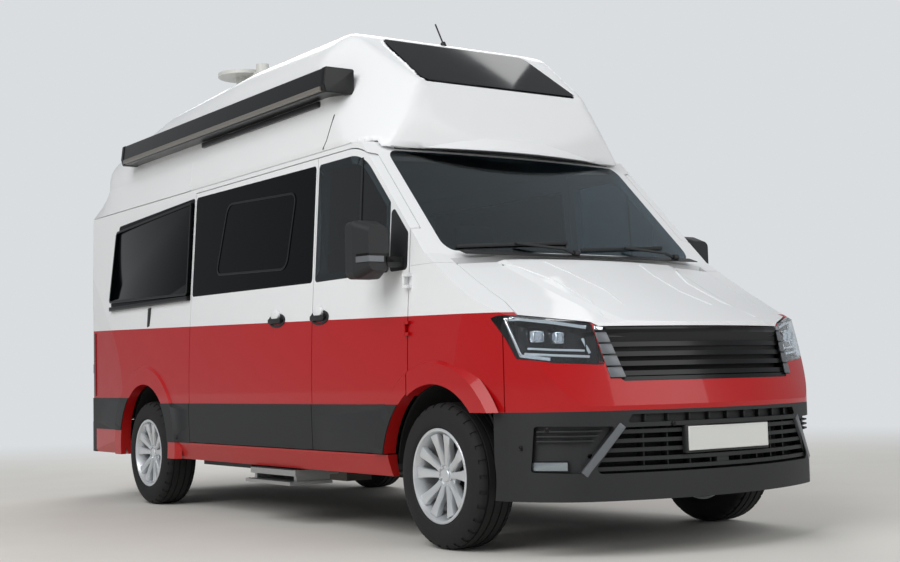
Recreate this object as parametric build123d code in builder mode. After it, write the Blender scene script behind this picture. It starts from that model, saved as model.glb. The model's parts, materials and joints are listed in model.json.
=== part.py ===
"""High-roof camper van: body panels, doors, glass, running gear and cab fittings.

Millimetres. +X forward, +Y to the van's left, +Z up, origin on the ground under the middle of the van.
Stations called "ahead" are measured forward from the front axle, "behind" ones rearward from the rear axle.
"""
import os
from math import cos, hypot, radians, sin

from build123d import *

os.makedirs("parts", exist_ok=True)

# Driving dimensions
OVERALL_LENGTH = 5986.0
WHEELBASE = 3640.0
FRONT_OVERHANG = 996.0
TRACK = 1752.0
TYRE_RADIUS = 357.0
TYRE_WIDTH = 235.0
RIM_RADIUS = 233.0
BODY_HALF = 1008.0        # widest point of the side wall
BELT_HALF = 996.0
GUTTER_HALF = 936.0
SILL_HALF = 962.0
SILL_Z = 335.0
BELT_Z = 1200.0
GUTTER_Z = 2126.0
ROOF_Z = 2971.0
WALL = 56.0               # whole thickness of a side wall or door
SHUT_GAP = 6.0            # gap round every door and lid
GLASS = 6.0
TAIL_INSET = 80.0         # rear doors ahead of the rear bumper's end
TAIL_LEAN, LEAN_Z = 75.0, 1300.0   # how far the tail leans forward at the gutter, and from what height
FLARE_OUT = 12.0          # how far the wheel-arch flares stand out of the side wall
STEER_DEG = 35.0

# Stations worked out from them
FRONT_X = OVERALL_LENGTH / 2
REAR_X = -FRONT_X
TAIL_X = REAR_X + TAIL_INSET
AXLE_F = FRONT_X - FRONT_OVERHANG
AXLE_R = AXLE_F - WHEELBASE
WHEEL_Y = TRACK / 2
FAR = 2 * OVERALL_LENGTH   # longer than anything on the van


def ahead(distance):
    """Station a distance forward of the front axle."""
    return AXLE_F + distance


def behind(distance):
    """Station a distance rearward of the rear axle."""
    return AXLE_R - distance


def save(part, name):
    part.label = name
    export_step(part, f"parts/{name}.step")
    return part


def block(x, y, z, mode=Mode.ADD):
    """A box between two stations on each axis, in the open builder."""
    with Locations(((x[0] + x[1]) / 2, (y[0] + y[1]) / 2, (z[0] + z[1]) / 2)):
        Box(x[1] - x[0], y[1] - y[0], z[1] - z[0], mode=mode)


def lean_at(z):
    """How far the tail has leaned forward at a height."""
    return max(z - LEAN_Z, 0.0) * TAIL_LEAN / (GUTTER_Z - LEAN_Z)


def shrunk(points, gap):
    """A convex outline with every edge moved in by a gap."""
    count = len(points)
    centre = [sum(p[axis] for p in points) / count for axis in (0, 1)]
    edges = []
    for (ax, ay), (bx, by) in zip(points, (*points[1:], points[0])):
        length = hypot(bx - ax, by - ay)
        nx, ny = (ay - by) / length, (bx - ax) / length
        if nx * (centre[0] - ax) + ny * (centre[1] - ay) < 0:
            nx, ny = -nx, -ny
        edges.append((nx, ny, nx * ax + ny * ay + gap))
    corners = []
    for (ax, ay, ad), (bx, by, bd) in zip((edges[-1], *edges[:-1]), edges):
        scale = ax * by - ay * bx
        corners.append(((ad * by - bd * ay) / scale, (ax * bd - bx * ad) / scale))
    return corners


def outline(points, rounds=0.0, large=()):
    """A filled polygon with its corners rounded by one radius, and single corners (index, radius) by their own."""
    with BuildSketch() as shape:
        with BuildLine():
            Polyline(*points, close=True)
        make_face()
        for index, point in enumerate(points):
            radius = dict(large).get(index, rounds)
            if radius:
                fillet(shape.vertices().sort_by_distance((*point, 0))[0], radius)
    return shape.sketch


def side_prism(points, y, rounds=0.0, large=()):
    """A side-view outline (x, z) extruded between two y stations."""
    with BuildPart() as prism:
        with BuildSketch(Plane.XZ.offset(-y[1])):
            add(outline(points, rounds, large))
        extrude(amount=y[1] - y[0])
    return prism.part


def front_prism(points, x, rounds=0.0):
    """A front-view outline (y, z) extruded between two x stations."""
    with BuildPart() as prism:
        with BuildSketch(Plane.YZ.offset(x[0])):
            add(outline(points, rounds))
        extrude(amount=x[1] - x[0])
    return prism.part


def plan_prism(points, z, rounds=0.0):
    """A plan outline (x, y) extruded between two heights."""
    with BuildPart() as prism:
        with BuildSketch(Plane.XY.offset(z[0])):
            add(outline(points, rounds))
        extrude(amount=z[1] - z[0])
    return prism.part


PIN, PIN_BORE, BARREL = 4.0, 4.05, 8.0     # hinge pin, its bore, and the knuckles' outside, as radii
KNUCKLE, LEAF = 16.0, 40.0                # heights of a fixed knuckle and of the moving barrel
HINGE_TALL = 2 * KNUCKLE + LEAF + 2.0


def upright(x, y, z, radius, mode=Mode.ADD):
    """An upright cylinder between two heights, in the open builder."""
    with Locations((x, y, (z[0] + z[1]) / 2)):
        Cylinder(radius, z[1] - z[0], mode=mode)


def mirrored(part):
    """The same piece on the other side of the van."""
    with BuildPart() as other:
        mirror(part, about=Plane.XZ)
    return other.part


# Body envelope

COWL_AHEAD, COWL_Z = -10.0, 1450.0        # where the bonnet line meets the windscreen line
SCREEN_BOW = 55.0                         # how far the screen bows forward over its half-width
SCREEN_HALF = 850.0
SPREAD = 1300.0                           # half-width of the envelope blocks, outside the van
# bonnet sections: station ahead of the axle, height in the middle, height at the spread, half-width of the raised middle
HOOD_SECTIONS = (
    (-80.0, 1474.0, 1440.0, 590.0), (420.0, 1250.0, 1090.0, 500.0), (1010.0, 1005.0, 900.0, 440.0)
)
DOME_RISE, DOME_SLOPE = 11.0, 46.0        # height of the raised middle, and the width of its sloped edge
NOSE_SIDE_AHEAD = -150.0                  # where the plan starts to narrow
# plan of the wing: station ahead of the axle, half-width, share of an inset taken sideways
WING_PLAN = ((250.0, 1000.0, 0.95), (520.0, 950.0, 0.8), (710.0, 852.0, 0.6), (830.0, 720.0, 0.3))
NOSE_RADIUS = 1644.0                      # plan radius of the nose between the wings
NOSE_LEAN_LOW, NOSE_LEAN_HIGH = 690.0, 1090.0
NOSE_LEAN = 134.0                         # how far the nose goes back between those heights
REAR_CORNER = 190.0
REAR_TAPER_BEHIND, REAR_HALF = 320.0, 968.0
BUMPER_CORNER, BUMPER_DEEP = 262.0, 300.0   # plan radius of the rear bumper's corner, and how far forward it reaches


def hood_block(drop):
    """Everything under the bonnet line, lowered by a drop."""
    with BuildPart() as hood:
        for station, middle, edge, crease in HOOD_SECTIONS:
            sag = middle - edge
            bend = (SPREAD**2 + sag**2) / (2 * sag)

            def crown(y):
                return (y, middle - drop - bend + (bend**2 - y**2) ** 0.5)

            foot = crease + DOME_SLOPE
            rise = (-crease, crown(crease)[1] + DOME_RISE)
            with BuildSketch(Plane.YZ.offset(ahead(station))):
                with BuildLine():
                    Polyline((SPREAD, edge - drop), (SPREAD, -200), (-SPREAD, -200), (-SPREAD, edge - drop))
                    ThreePointArc((-SPREAD, edge - drop), crown(-(SPREAD + foot) / 2), crown(-foot))
                    Line(crown(-foot), rise)
                    ThreePointArc(rise, (0, middle - drop + DOME_RISE), (crease, rise[1]))
                    Line((crease, rise[1]), crown(foot))
                    ThreePointArc(crown(foot), crown((SPREAD + foot) / 2), (SPREAD, edge - drop))
                make_face()
        loft()
    return hood.part


def cab_block(back):
    """Everything behind the windscreen, moved back by a distance."""
    bow = SCREEN_BOW * (SPREAD / SCREEN_HALF) ** 2
    with BuildPart() as cab:
        for z in (-200.0, 2400.0):
            apex = ahead(COWL_AHEAD) - (z - COWL_Z) - back
            with BuildSketch(Plane.XY.offset(z)):
                with BuildLine():
                    Polyline((apex - bow, SPREAD), (-FAR, SPREAD), (-FAR, -SPREAD), (apex - bow, -SPREAD))
                    ThreePointArc((apex - bow, -SPREAD), (apex, 0), (apex - bow, SPREAD))
                make_face()
        loft()
    return cab.part


def nose_block(inset):
    """Everything behind the nose: upright to the bumper's top, then leaning back."""
    sag = NOSE_RADIUS - (NOSE_RADIUS**2 - SPREAD**2) ** 0.5
    rise = NOSE_LEAN_HIGH - NOSE_LEAN_LOW
    levels = ((-200.0, 0.0), (NOSE_LEAN_LOW, 0.0), (NOSE_LEAN_HIGH + rise, 2 * NOSE_LEAN))
    with BuildPart() as nose:
        for low, high in zip(levels, levels[1:]):
            for z, lean in (low, high):
                apex = FRONT_X - inset - lean
                with BuildSketch(Plane.XY.offset(z)):
                    with BuildLine():
                        Polyline((apex - sag, SPREAD), (-FAR, SPREAD), (-FAR, -SPREAD), (apex - sag, -SPREAD))
                        ThreePointArc((apex - sag, -SPREAD), (apex, 0), (apex - sag, SPREAD))
                    make_face()
            loft()
        block((-FAR, AXLE_F), (-SPREAD, SPREAD), (NOSE_LEAN_HIGH + rise - 1, 2600))
    return nose.part


def plan_sketch(inset, end=TAIL_X, corner_radius=REAR_CORNER):
    """Plan of the body, inset all round, with its tail at a station."""
    tail = end + inset
    turn = max(corner_radius - inset, 20.0)
    with BuildSketch() as plan:
        with BuildLine():
            rear = Line((tail, 0), (tail + 12, REAR_HALF - inset - turn))
            corner = ThreePointArc(
                rear @ 1,
                (tail + 12 + 0.29 * turn, REAR_HALF - inset - 0.29 * turn),
                (tail + 12 + turn, REAR_HALF - inset),
            )
            taper = Line(corner @ 1, (behind(REAR_TAPER_BEHIND), BODY_HALF + 6 - inset))
            side = Line(taper @ 1, (ahead(NOSE_SIDE_AHEAD), BODY_HALF + 6 - inset))
            wing_a, wing_b, corner_a, corner_b = (
                (ahead(station) - inset * (1 - share), half - inset * share)
                for station, half, share in WING_PLAN
            )
            wing = ThreePointArc(side @ 1, wing_a, wing_b)
            turn_in = ThreePointArc(wing @ 1, corner_a, corner_b)
            front = Line(turn_in @ 1, (FRONT_X + 50, corner_b[1]))
            middle = Line(front @ 1, (FRONT_X + 50, 0))
            Line(middle @ 1, rear @ 0)
        make_face()
        mirror(about=Plane.XZ)
    return plan.sketch


def section_sketch(inset, low, high):
    """Cross-section of the body: inset sides between two heights."""
    top = max(high, GUTTER_Z)
    top_half = BELT_HALF - (BELT_HALF - GUTTER_HALF) * (top - BELT_Z) / (GUTTER_Z - BELT_Z)
    with BuildSketch() as section:
        with BuildLine():
            sill = Line((0, low), (SILL_HALF - inset, low))
            tuck = Line(sill @ 1, (BODY_HALF - 8 - inset, SILL_Z + 100))
            side = ThreePointArc(tuck @ 1, (BODY_HALF - inset, 800), (BELT_HALF - inset, BELT_Z))
            lean = Line(side @ 1, (top_half - inset, top))
            Line(lean @ 1, (0, top))
            Line((0, top), (0, low))
        make_face()
        mirror(about=Plane.YZ)
    return section.sketch


def tail_block(inset):
    """Everything ahead of the leaning tail, which leaves the plan's upright tail at LEAN_Z."""
    foot = TAIL_X + inset - LEAN_Z * TAIL_LEAN / (GUTTER_Z - LEAN_Z)
    top = 2 * LEAN_Z
    points = ((foot, 0.0), (FAR, 0.0), (FAR, top), (TAIL_X + inset + lean_at(top), top))
    return side_prism(points, (-2 * SPREAD, 2 * SPREAD))


def envelope(inset, low, high):
    """The body's volume up to the gutter, inset all round."""
    with BuildPart() as front:
        add(hood_block(inset))
        add(cab_block(1.4 * inset))
    with BuildPart() as body:
        with BuildSketch(Plane.YZ):
            add(section_sketch(inset, low, high))
        extrude(amount=FAR, both=True)
        with BuildSketch(Plane.XY.offset(low - 1)):
            add(plan_sketch(inset))
        extrude(amount=high - low + 2, mode=Mode.INTERSECT)
        add(tail_block(inset), mode=Mode.INTERSECT)
        add(front.part, mode=Mode.INTERSECT)
        add(nose_block(inset), mode=Mode.INTERSECT)
    return body.part


outer = envelope(0.0, SILL_Z, GUTTER_Z)
skin = envelope(GLASS, SILL_Z - 100, GUTTER_Z + 100)
inner = envelope(WALL, SILL_Z - 100, GUTTER_Z + 100)
with BuildPart() as shell_builder:
    add(outer)
    add(inner, mode=Mode.SUBTRACT)
shell = shell_builder.part
with BuildPart() as glass_builder:
    add(outer)
    add(skin, mode=Mode.SUBTRACT)
glass_layer = glass_builder.part
with BuildPart() as side_core_builder:
    with BuildSketch(Plane.YZ):
        add(section_sketch(WALL, SILL_Z - 100, GUTTER_Z + 100))
    extrude(amount=FAR, both=True)
side_core = side_core_builder.part
with BuildPart() as door_core_builder:
    with BuildSketch(Plane.YZ):
        add(section_sketch(WALL + SHUT_GAP, SILL_Z - 100, GUTTER_Z + 100))
    extrude(amount=FAR, both=True)
door_core = door_core_builder.part

RIGHT = (-SPREAD, 0.0)
ACROSS = (-SPREAD, SPREAD)

# Wheel arches
ARCH_F, ARCH_R = 448.0, 424.0             # opening radii
ARCH_R_UP = 55.0                          # rear arch centre above the axle
FLARE_F, FLARE_R = 590.0, 580.0           # outer radii of the flares
AXLE_Z = TYRE_RADIUS


def disc(x, z, radius, y):
    """A round block across the van between two y stations."""
    with BuildPart() as round_block:
        with BuildSketch(Plane.XZ.offset(-y[1])):
            with Locations((x, z)):
                Circle(radius)
        extrude(amount=y[1] - y[0])
    return round_block.part


arch_cut_f = disc(AXLE_F, AXLE_Z, ARCH_F, ACROSS)
arch_cut_r = disc(AXLE_R, AXLE_Z + ARCH_R_UP, ARCH_R, ACROSS)

# Doors, seen from the side (x, z)
DOOR_FRONT, DOOR_REAR = ahead(-228), ahead(-1215)
DOOR_LOW, DOOR_HIGH = 452.0, 2096.0
SLIDE_REAR = ahead(-2880)
PILLAR_Z = 1620.0                         # where the front door's edge turns back along the screen
HEAD_ROUND = ((2, 420.0),)                # the round corner over the front door
HINGE_GAP = 8.0

door_points = (
    (DOOR_FRONT, DOOR_LOW),
    (DOOR_FRONT, PILLAR_Z),
    (DOOR_FRONT - (DOOR_HIGH - PILLAR_Z), DOOR_HIGH),
    (DOOR_REAR, DOOR_HIGH),
    (DOOR_REAR, DOOR_LOW),
)
door_hole_points = (
    (DOOR_FRONT + HINGE_GAP, DOOR_LOW - SHUT_GAP),
    (DOOR_FRONT + HINGE_GAP, PILLAR_Z + 4),
    (DOOR_FRONT + 2 - (DOOR_HIGH - PILLAR_Z), DOOR_HIGH + SHUT_GAP),
    (DOOR_REAR - SHUT_GAP, DOOR_HIGH + SHUT_GAP),
    (DOOR_REAR - SHUT_GAP, DOOR_LOW - SHUT_GAP),
)
slide_points = (
    (DOOR_REAR - SHUT_GAP, DOOR_LOW),
    (DOOR_REAR - SHUT_GAP, DOOR_HIGH),
    (SLIDE_REAR, DOOR_HIGH),
    (SLIDE_REAR, DOOR_LOW),
)

# Windows, seen from the side (x, z): outlines of the panes, which lap over a frame of the door or wall
WINDOW_FRAME = 42.0
WINDOW_LOW, WINDOW_HIGH = 1386.0, 2056.0
ROUND = 24.0
SAIL_REAR, SAIL_FRONT = ahead(-412), ahead(-244)    # the black plate that carries the mirror
PILLAR_LINE = DOOR_FRONT + PILLAR_Z - 1.414 * WINDOW_FRAME   # x + z along the window's sloping edge
front_window = (
    (DOOR_REAR + 12, WINDOW_LOW), (DOOR_REAR + 12, WINDOW_HIGH), (PILLAR_LINE - WINDOW_HIGH, WINDOW_HIGH),
    (SAIL_REAR - 8, PILLAR_LINE - SAIL_REAR + 8), (SAIL_REAR - 8, WINDOW_LOW),
)
sail_points = (
    (SAIL_REAR, WINDOW_LOW), (SAIL_REAR, PILLAR_LINE - SAIL_REAR), (SAIL_FRONT, PILLAR_LINE - SAIL_FRONT),
    (SAIL_FRONT, WINDOW_LOW),
)
slide_window = (
    (SLIDE_REAR + 10, WINDOW_LOW + 20), (SLIDE_REAR + 10, WINDOW_HIGH + 12), (DOOR_REAR - 20, WINDOW_HIGH),
    (DOOR_REAR - 20, WINDOW_LOW),
)
quarter_window = (
    (ahead(-4345), WINDOW_LOW + 28), (ahead(-4250), WINDOW_HIGH - 40), (SLIDE_REAR - 18, WINDOW_HIGH + 14),
    (SLIDE_REAR - 18, WINDOW_LOW + 18),
)
HEAD_GLASS_ROUND = ((2, 340.0),)


def side_glass(points, large=()):
    """A pane flush with the side wall's outer skin, on the right."""
    with BuildPart() as pane:
        add(glass_layer)
        add(side_prism(points, RIGHT, ROUND, large), mode=Mode.INTERSECT)
    return pane.part


def window_hole(points, large=()):
    """The opening behind a pane, through the wall or door."""
    return side_prism(shrunk(points, WINDOW_FRAME), RIGHT, ROUND, large)


def flare(x, z, radius):
    """A wheel-arch flare standing out of the right side wall, its outer edge sloped."""
    with BuildPart() as lip:
        with BuildSketch(Plane.XZ.offset(BODY_HALF + FLARE_OUT)):
            with Locations((x, z)):
                Circle(radius - 40)
        with BuildSketch(Plane.XZ.offset(BODY_HALF - 24)):
            with Locations((x, z)):
                Circle(radius)
        loft()
        block((x - 700, x + 700), ACROSS, (SILL_Z, 1200), mode=Mode.INTERSECT)
        add(inner, mode=Mode.SUBTRACT)
    return lip.part


flares = []
for flare_x, flare_z, flare_radius in ((AXLE_F, AXLE_Z, FLARE_F), (AXLE_R, AXLE_Z + ARCH_R_UP, FLARE_R)):
    flares.append(flare(flare_x, flare_z, flare_radius))
flare_front, flare_rear = flares

# Right front door with its window, hinge barrels on the axis, and its half of the front flare
HINGE_X, HINGE_Y = DOOR_FRONT - 8.0, -(BODY_HALF + 4.0)
door_hinges = (1050.0, 1290.0)             # undersides of the hinges

door_glass = side_glass(front_window, HEAD_GLASS_ROUND)
mirror_sail = side_glass(sail_points)
with BuildPart() as door_right:
    add(outer)
    add(flare_front)
    add(side_core, mode=Mode.SUBTRACT)
    add(side_prism(door_points, RIGHT, 0.0, HEAD_ROUND), mode=Mode.INTERSECT)
    add(disc(AXLE_F, AXLE_Z, ARCH_F + 14, ACROSS), mode=Mode.SUBTRACT)
    add(door_glass, mode=Mode.SUBTRACT)
    add(mirror_sail, mode=Mode.SUBTRACT)
    add(window_hole(front_window, ((2, 300.0),)), mode=Mode.SUBTRACT)
    for low in door_hinges:
        leaf_z = (low + KNUCKLE + 1, low + KNUCKLE + 1 + LEAF)
        upright(HINGE_X, HINGE_Y, leaf_z, BARREL)
        block((HINGE_X - 6, HINGE_X + 6), (HINGE_Y, HINGE_Y + 40), leaf_z)
        upright(HINGE_X, HINGE_Y, (low, low + HINGE_TALL), PIN_BORE, mode=Mode.SUBTRACT)
save(door_right.part, "door_right")
save(mirrored(door_right.part), "door_left")
save(door_glass, "door_glass_right")
save(mirrored(door_glass), "door_glass_left")

# Sliding door on the right
slide_glass = side_glass(slide_window)
quarter_glass = side_glass(quarter_window)
with BuildPart() as sliding_door:
    add(outer)
    add(side_core, mode=Mode.SUBTRACT)
    add(side_prism(slide_points, RIGHT), mode=Mode.INTERSECT)
    add(slide_glass, mode=Mode.SUBTRACT)
    add(window_hole(slide_window), mode=Mode.SUBTRACT)
    for x in (SLIDE_REAR + 160, DOOR_REAR - 160):
        block((x - 60, x + 60), (-BODY_HALF + 24, -BODY_HALF + 50), (DOOR_LOW - SHUT_GAP, DOOR_LOW + 12))
save(sliding_door.part, "sliding_door")

# Side walls: everything behind the front doors, and the sills
REAR_OPENING = 830.0
REAR_DOOR_HALF = REAR_OPENING - SHUT_GAP
REAR_HINGE_X, REAR_HINGE_Y = TAIL_X - 20.0, REAR_OPENING - 3.0
rear_hinges = (760.0, 1270.0, 1820.0)      # undersides of the hinges
REAR_DOOR_LOW, REAR_DOOR_HIGH = 566.0, GUTTER_Z - SHUT_GAP
LAMP_Z, LAMP_Y = (756.0, 1236.0), (880.0, 1020.0)     # tail lamps: heights, and stations across
door_hole = side_prism(door_hole_points, RIGHT, 0.0, HEAD_ROUND)
with BuildPart() as tail_lamp:
    add(glass_layer)
    block((TAIL_X - 20, TAIL_X + 190), (-LAMP_Y[1], -LAMP_Y[0]), LAMP_Z, mode=Mode.INTERSECT)
slide_hole = side_prism(
    (
        (DOOR_REAR, DOOR_LOW - SHUT_GAP),
        (DOOR_REAR, DOOR_HIGH + SHUT_GAP),
        (SLIDE_REAR - SHUT_GAP, DOOR_HIGH + SHUT_GAP),
        (SLIDE_REAR - SHUT_GAP, DOOR_LOW - SHUT_GAP),
    ),
    RIGHT,
)
with BuildPart() as wall_base:
    add(shell)
    add(flare_rear)
    add(side_prism(
        (
            (REAR_X - 50, SILL_Z - 5),
            (ahead(-300), SILL_Z - 5),
            (ahead(-300), DOOR_LOW - SHUT_GAP),
            (DOOR_REAR - SHUT_GAP, DOOR_LOW - SHUT_GAP),
            (DOOR_REAR - SHUT_GAP, GUTTER_Z + 5),
            (REAR_X - 50, GUTTER_Z + 5),
        ),
        (-SPREAD, -REAR_OPENING),
    ), mode=Mode.INTERSECT)
    add(arch_cut_f, mode=Mode.SUBTRACT)
    add(arch_cut_r, mode=Mode.SUBTRACT)
    block((REAR_X - 50, REAR_X + BUMPER_DEEP), ACROSS, (0, REAR_DOOR_LOW - SHUT_GAP), mode=Mode.SUBTRACT)
    add(quarter_glass, mode=Mode.SUBTRACT)
    add(window_hole(quarter_window), mode=Mode.SUBTRACT)
    add(tail_lamp.part, mode=Mode.SUBTRACT)
    for low in rear_hinges:
        for z in ((low, low + KNUCKLE), (low + HINGE_TALL - KNUCKLE, low + HINGE_TALL)):
            seat_x = TAIL_X + 50 + lean_at(low)
            block((REAR_HINGE_X - 5, seat_x), (-REAR_HINGE_Y - 40, -REAR_HINGE_Y - 5), z)
            block((REAR_HINGE_X - 7, REAR_HINGE_X + 7), (-REAR_HINGE_Y - 6, -REAR_HINGE_Y + 7), z)
        upright(REAR_HINGE_X, -REAR_HINGE_Y, (low, low + HINGE_TALL), PIN)
with BuildPart() as side_wall_right:
    add(wall_base.part)
    add(slide_hole, mode=Mode.SUBTRACT)
with BuildPart() as left_base:
    add(wall_base.part)
    add(slide_glass, mode=Mode.SUBTRACT)
    add(window_hole(slide_window), mode=Mode.SUBTRACT)
save(side_wall_right.part, "side_wall_right")
save(mirrored(left_base.part), "side_wall_left")
save(slide_glass, "sliding_door_glass")
with BuildPart() as tail_lamps:
    add(tail_lamp.part)
    add(mirrored(tail_lamp.part))
save(tail_lamps.part, "tail_lamps")
with BuildPart() as side_windows:
    add(quarter_glass)
    add(mirrored(quarter_glass))
    add(mirrored(slide_glass))
save(side_windows.part, "side_windows")

# Rear doors, hung on outside hinges at the rear corners
REAR_SEAM = SHUT_GAP / 2
rear_window = ((-770.0, 1400.0), (-745.0, 2030.0), (-60.0, 2030.0), (-60.0, 1400.0))
REAR_BAND = (REAR_X - 50, TAIL_X + TAIL_LEAN + WALL + 40)
with BuildPart() as rear_glass:
    add(glass_layer)
    add(front_prism(rear_window, REAR_BAND, ROUND), mode=Mode.INTERSECT)

with BuildPart() as rear_door_right:
    add(shell)
    block(REAR_BAND, (-REAR_DOOR_HALF, -REAR_SEAM), (REAR_DOOR_LOW, REAR_DOOR_HIGH), mode=Mode.INTERSECT)
    add(rear_glass.part, mode=Mode.SUBTRACT)
    add(front_prism(shrunk(rear_window, WINDOW_FRAME), REAR_BAND, ROUND), mode=Mode.SUBTRACT)
    for low in rear_hinges:
        leaf_z = (low + KNUCKLE + 1, low + KNUCKLE + 1 + LEAF)
        upright(REAR_HINGE_X, -REAR_HINGE_Y, leaf_z, BARREL - 1)
        block((REAR_HINGE_X - 6, REAR_HINGE_X + 6), (-REAR_HINGE_Y, -REAR_HINGE_Y + 24), leaf_z)
        block((REAR_HINGE_X - 6, TAIL_X + 36 + lean_at(low)), (-REAR_HINGE_Y + 12, -REAR_HINGE_Y + 60), leaf_z)
        upright(REAR_HINGE_X, -REAR_HINGE_Y, (low, low + HINGE_TALL), PIN_BORE, mode=Mode.SUBTRACT)
save(rear_door_right.part, "rear_door_right")
save(mirrored(rear_door_right.part), "rear_door_left")
save(rear_glass.part, "rear_glass_right")
save(mirrored(rear_glass.part), "rear_glass_left")

# Rear bumper under the doors, with a step on top
with BuildPart() as rear_bumper:
    with BuildSketch(Plane.XY.offset(SILL_Z)):
        add(plan_sketch(0.0, REAR_X, BUMPER_CORNER))
    extrude(amount=REAR_DOOR_LOW - SHUT_GAP - SILL_Z)
    block((REAR_X - 50, REAR_X + BUMPER_DEEP), ACROSS, (0, 1000), mode=Mode.INTERSECT)
    add(inner, mode=Mode.SUBTRACT)
save(rear_bumper.part, "rear_bumper")

# Cab frame: pillars, header and the cowl round the windscreen
SCREEN_TOP = 2076.0
screen_points = (
    (-SCREEN_HALF, COWL_Z + 24), (-SCREEN_HALF + 34, SCREEN_TOP), (SCREEN_HALF - 34, SCREEN_TOP),
    (SCREEN_HALF, COWL_Z + 24),
)
SCREEN_X = (ahead(-900), ahead(100))
FRAME_LOW = 1402.0
BONNET_REAR = ahead(22)
BONNET_THICK = 28.0
# half plans of the bonnet, its opening and the bay under it: station ahead of the axle, half-width
BONNET_PLAN = ((22.0, 858.0), (403.0, 855.0), (605.0, 906.0), (760.0, SPREAD), (1100.0, SPREAD))
OPENING_PLAN = ((-34.0, 864.0), (403.0, 861.0), (600.0, 912.0), (752.0, SPREAD), (1110.0, SPREAD))
BAY_PLAN = ((-52.0, 822.0), (468.0, 808.0), (573.0, 778.0), (740.0, 622.0), (803.0, 545.0), (826.0, 0.0))
# the bonnet's front edge seen from the front: station across, height
BONNET_EDGE = ((590.0, 1056.0), (622.0, 1076.0), (906.0, 1119.0), (SPREAD, 1150.0))


def both_sides(half_plan):
    """A plan outline from its half: stations ahead of the axle, and half-widths."""
    return [(ahead(x), -y) for x, y in half_plan] + [(ahead(x), y) for x, y in half_plan[::-1] if y]


def over_edge(drop):
    """Everything over the bonnet's front edge, lowered by a drop."""
    edge = [(-y, z - drop) for y, z in BONNET_EDGE[::-1]] + [(y, z - drop) for y, z in BONNET_EDGE]
    return front_prism([(-SPREAD, 1700), *edge, (SPREAD, 1700)], (ahead(-200), FRONT_X + 120))


BONNET_HINGE_X, BONNET_HINGE_Z = BONNET_REAR + 24.0, 1392.0
BONNET_HINGE_Y = 560.0
BONNET_LUG = 20.0                         # half-length of the bonnet's lug on its pin


def along_y(x, y, z, radius, mode=Mode.ADD):
    """A cylinder lying across the van between two y stations, in the open builder."""
    with Locations(Location((x, (y[0] + y[1]) / 2, z), (90, 0, 0))):
        Cylinder(radius, y[1] - y[0], mode=mode)


with BuildPart() as bonnet:
    add(outer)
    add(hood_block(BONNET_THICK), mode=Mode.SUBTRACT)
    add(plan_prism(both_sides(BONNET_PLAN), (900, 1600)), mode=Mode.INTERSECT)
    add(over_edge(0.0), mode=Mode.INTERSECT)
    for side in (-1, 1):
        y = side * BONNET_HINGE_Y
        pocket = (y - BONNET_LUG - 28, y + BONNET_LUG + 28)
        block((BONNET_REAR - 5, BONNET_HINGE_X + 18), pocket, (1300, BONNET_HINGE_Z + 10), mode=Mode.SUBTRACT)
        lug = (y - BONNET_LUG, y + BONNET_LUG)
        along_y(BONNET_HINGE_X, lug, BONNET_HINGE_Z, 8.0)
        block((BONNET_HINGE_X - 7, BONNET_HINGE_X + 7), lug, (BONNET_HINGE_Z, BONNET_HINGE_Z + 14))
        along_y(BONNET_HINGE_X, lug, BONNET_HINGE_Z, PIN_BORE, mode=Mode.SUBTRACT)
save(bonnet.part, "bonnet")
with BuildPart() as bonnet_room:
    add(plan_prism(both_sides(OPENING_PLAN), (900, 1700)))
    add(over_edge(SHUT_GAP), mode=Mode.INTERSECT)

with BuildPart() as engine_bay:
    add(plan_prism(both_sides(BAY_PLAN), (900, 1700)))
    block((ahead(-40), ahead(60)), (-780, 780), (900, 1700))
    add(hood_block(WALL + 10), mode=Mode.SUBTRACT)

with BuildPart() as cab_frame:
    add(shell)
    block((DOOR_REAR - SHUT_GAP, ahead(200)), ACROSS, (FRAME_LOW, GUTTER_Z), mode=Mode.INTERSECT)
    for hole in (door_hole, mirrored(door_hole)):
        with BuildPart(mode=Mode.PRIVATE) as side_hole:
            add(hole)
            add(door_core, mode=Mode.SUBTRACT)
        add(side_hole.part, mode=Mode.SUBTRACT)
    add(front_prism(screen_points, SCREEN_X, 60.0), mode=Mode.SUBTRACT)
    add(bonnet_room.part, mode=Mode.SUBTRACT)
    block((DOOR_FRONT + HINGE_GAP, ahead(400)), ACROSS, (0, FRAME_LOW + 1), mode=Mode.SUBTRACT)
save(cab_frame.part, "cab_frame")
with BuildPart() as windscreen:
    add(cab_block(0.0))
    add(cab_block(GLASS * 1.4), mode=Mode.SUBTRACT)
    add(front_prism(screen_points, SCREEN_X, 60.0), mode=Mode.INTERSECT)
save(windscreen.part, "windscreen")

# Front wings, bumper, lamps and grille
WING_FRONT = ahead(508)
WING_INNER = 780.0
RED_LOW = 668.0
WING_TIP = ahead(650), 1096.0             # the wing's tip over the lamp: how far forward, and from what height
LAMP_OUTLINE = (
    (-972.0, 1118.0), (-906.0, 1113.0), (-622.0, 1070.0), (-604.0, 875.0), (-820.0, 889.0), (-930.0, 910.0)
)
LAMP_X = (ahead(340), ahead(1000))
NOSE_X = (ahead(700), ahead(1002))
GRILLE_TOP, GRILLE_LOW = 1050.0, 800.0
GRILLE_OUTLINE = ((-592.0, GRILLE_TOP), (592.0, GRILLE_TOP), (545.0, GRILLE_LOW), (-545.0, GRILLE_LOW))
lamp_hole = front_prism(LAMP_OUTLINE, LAMP_X, 14.0)

LINER = 14.0
LINER_Y = BODY_HALF - WALL - 28
HOUSE_F, HOUSE_R = 520.0, 640.0           # inner walls of the wheel housings, from the centre line
housing_room = disc(AXLE_F, AXLE_Z, ARCH_F + 6 + LINER, (-LINER_Y - 2, -HOUSE_F + LINER))

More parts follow.
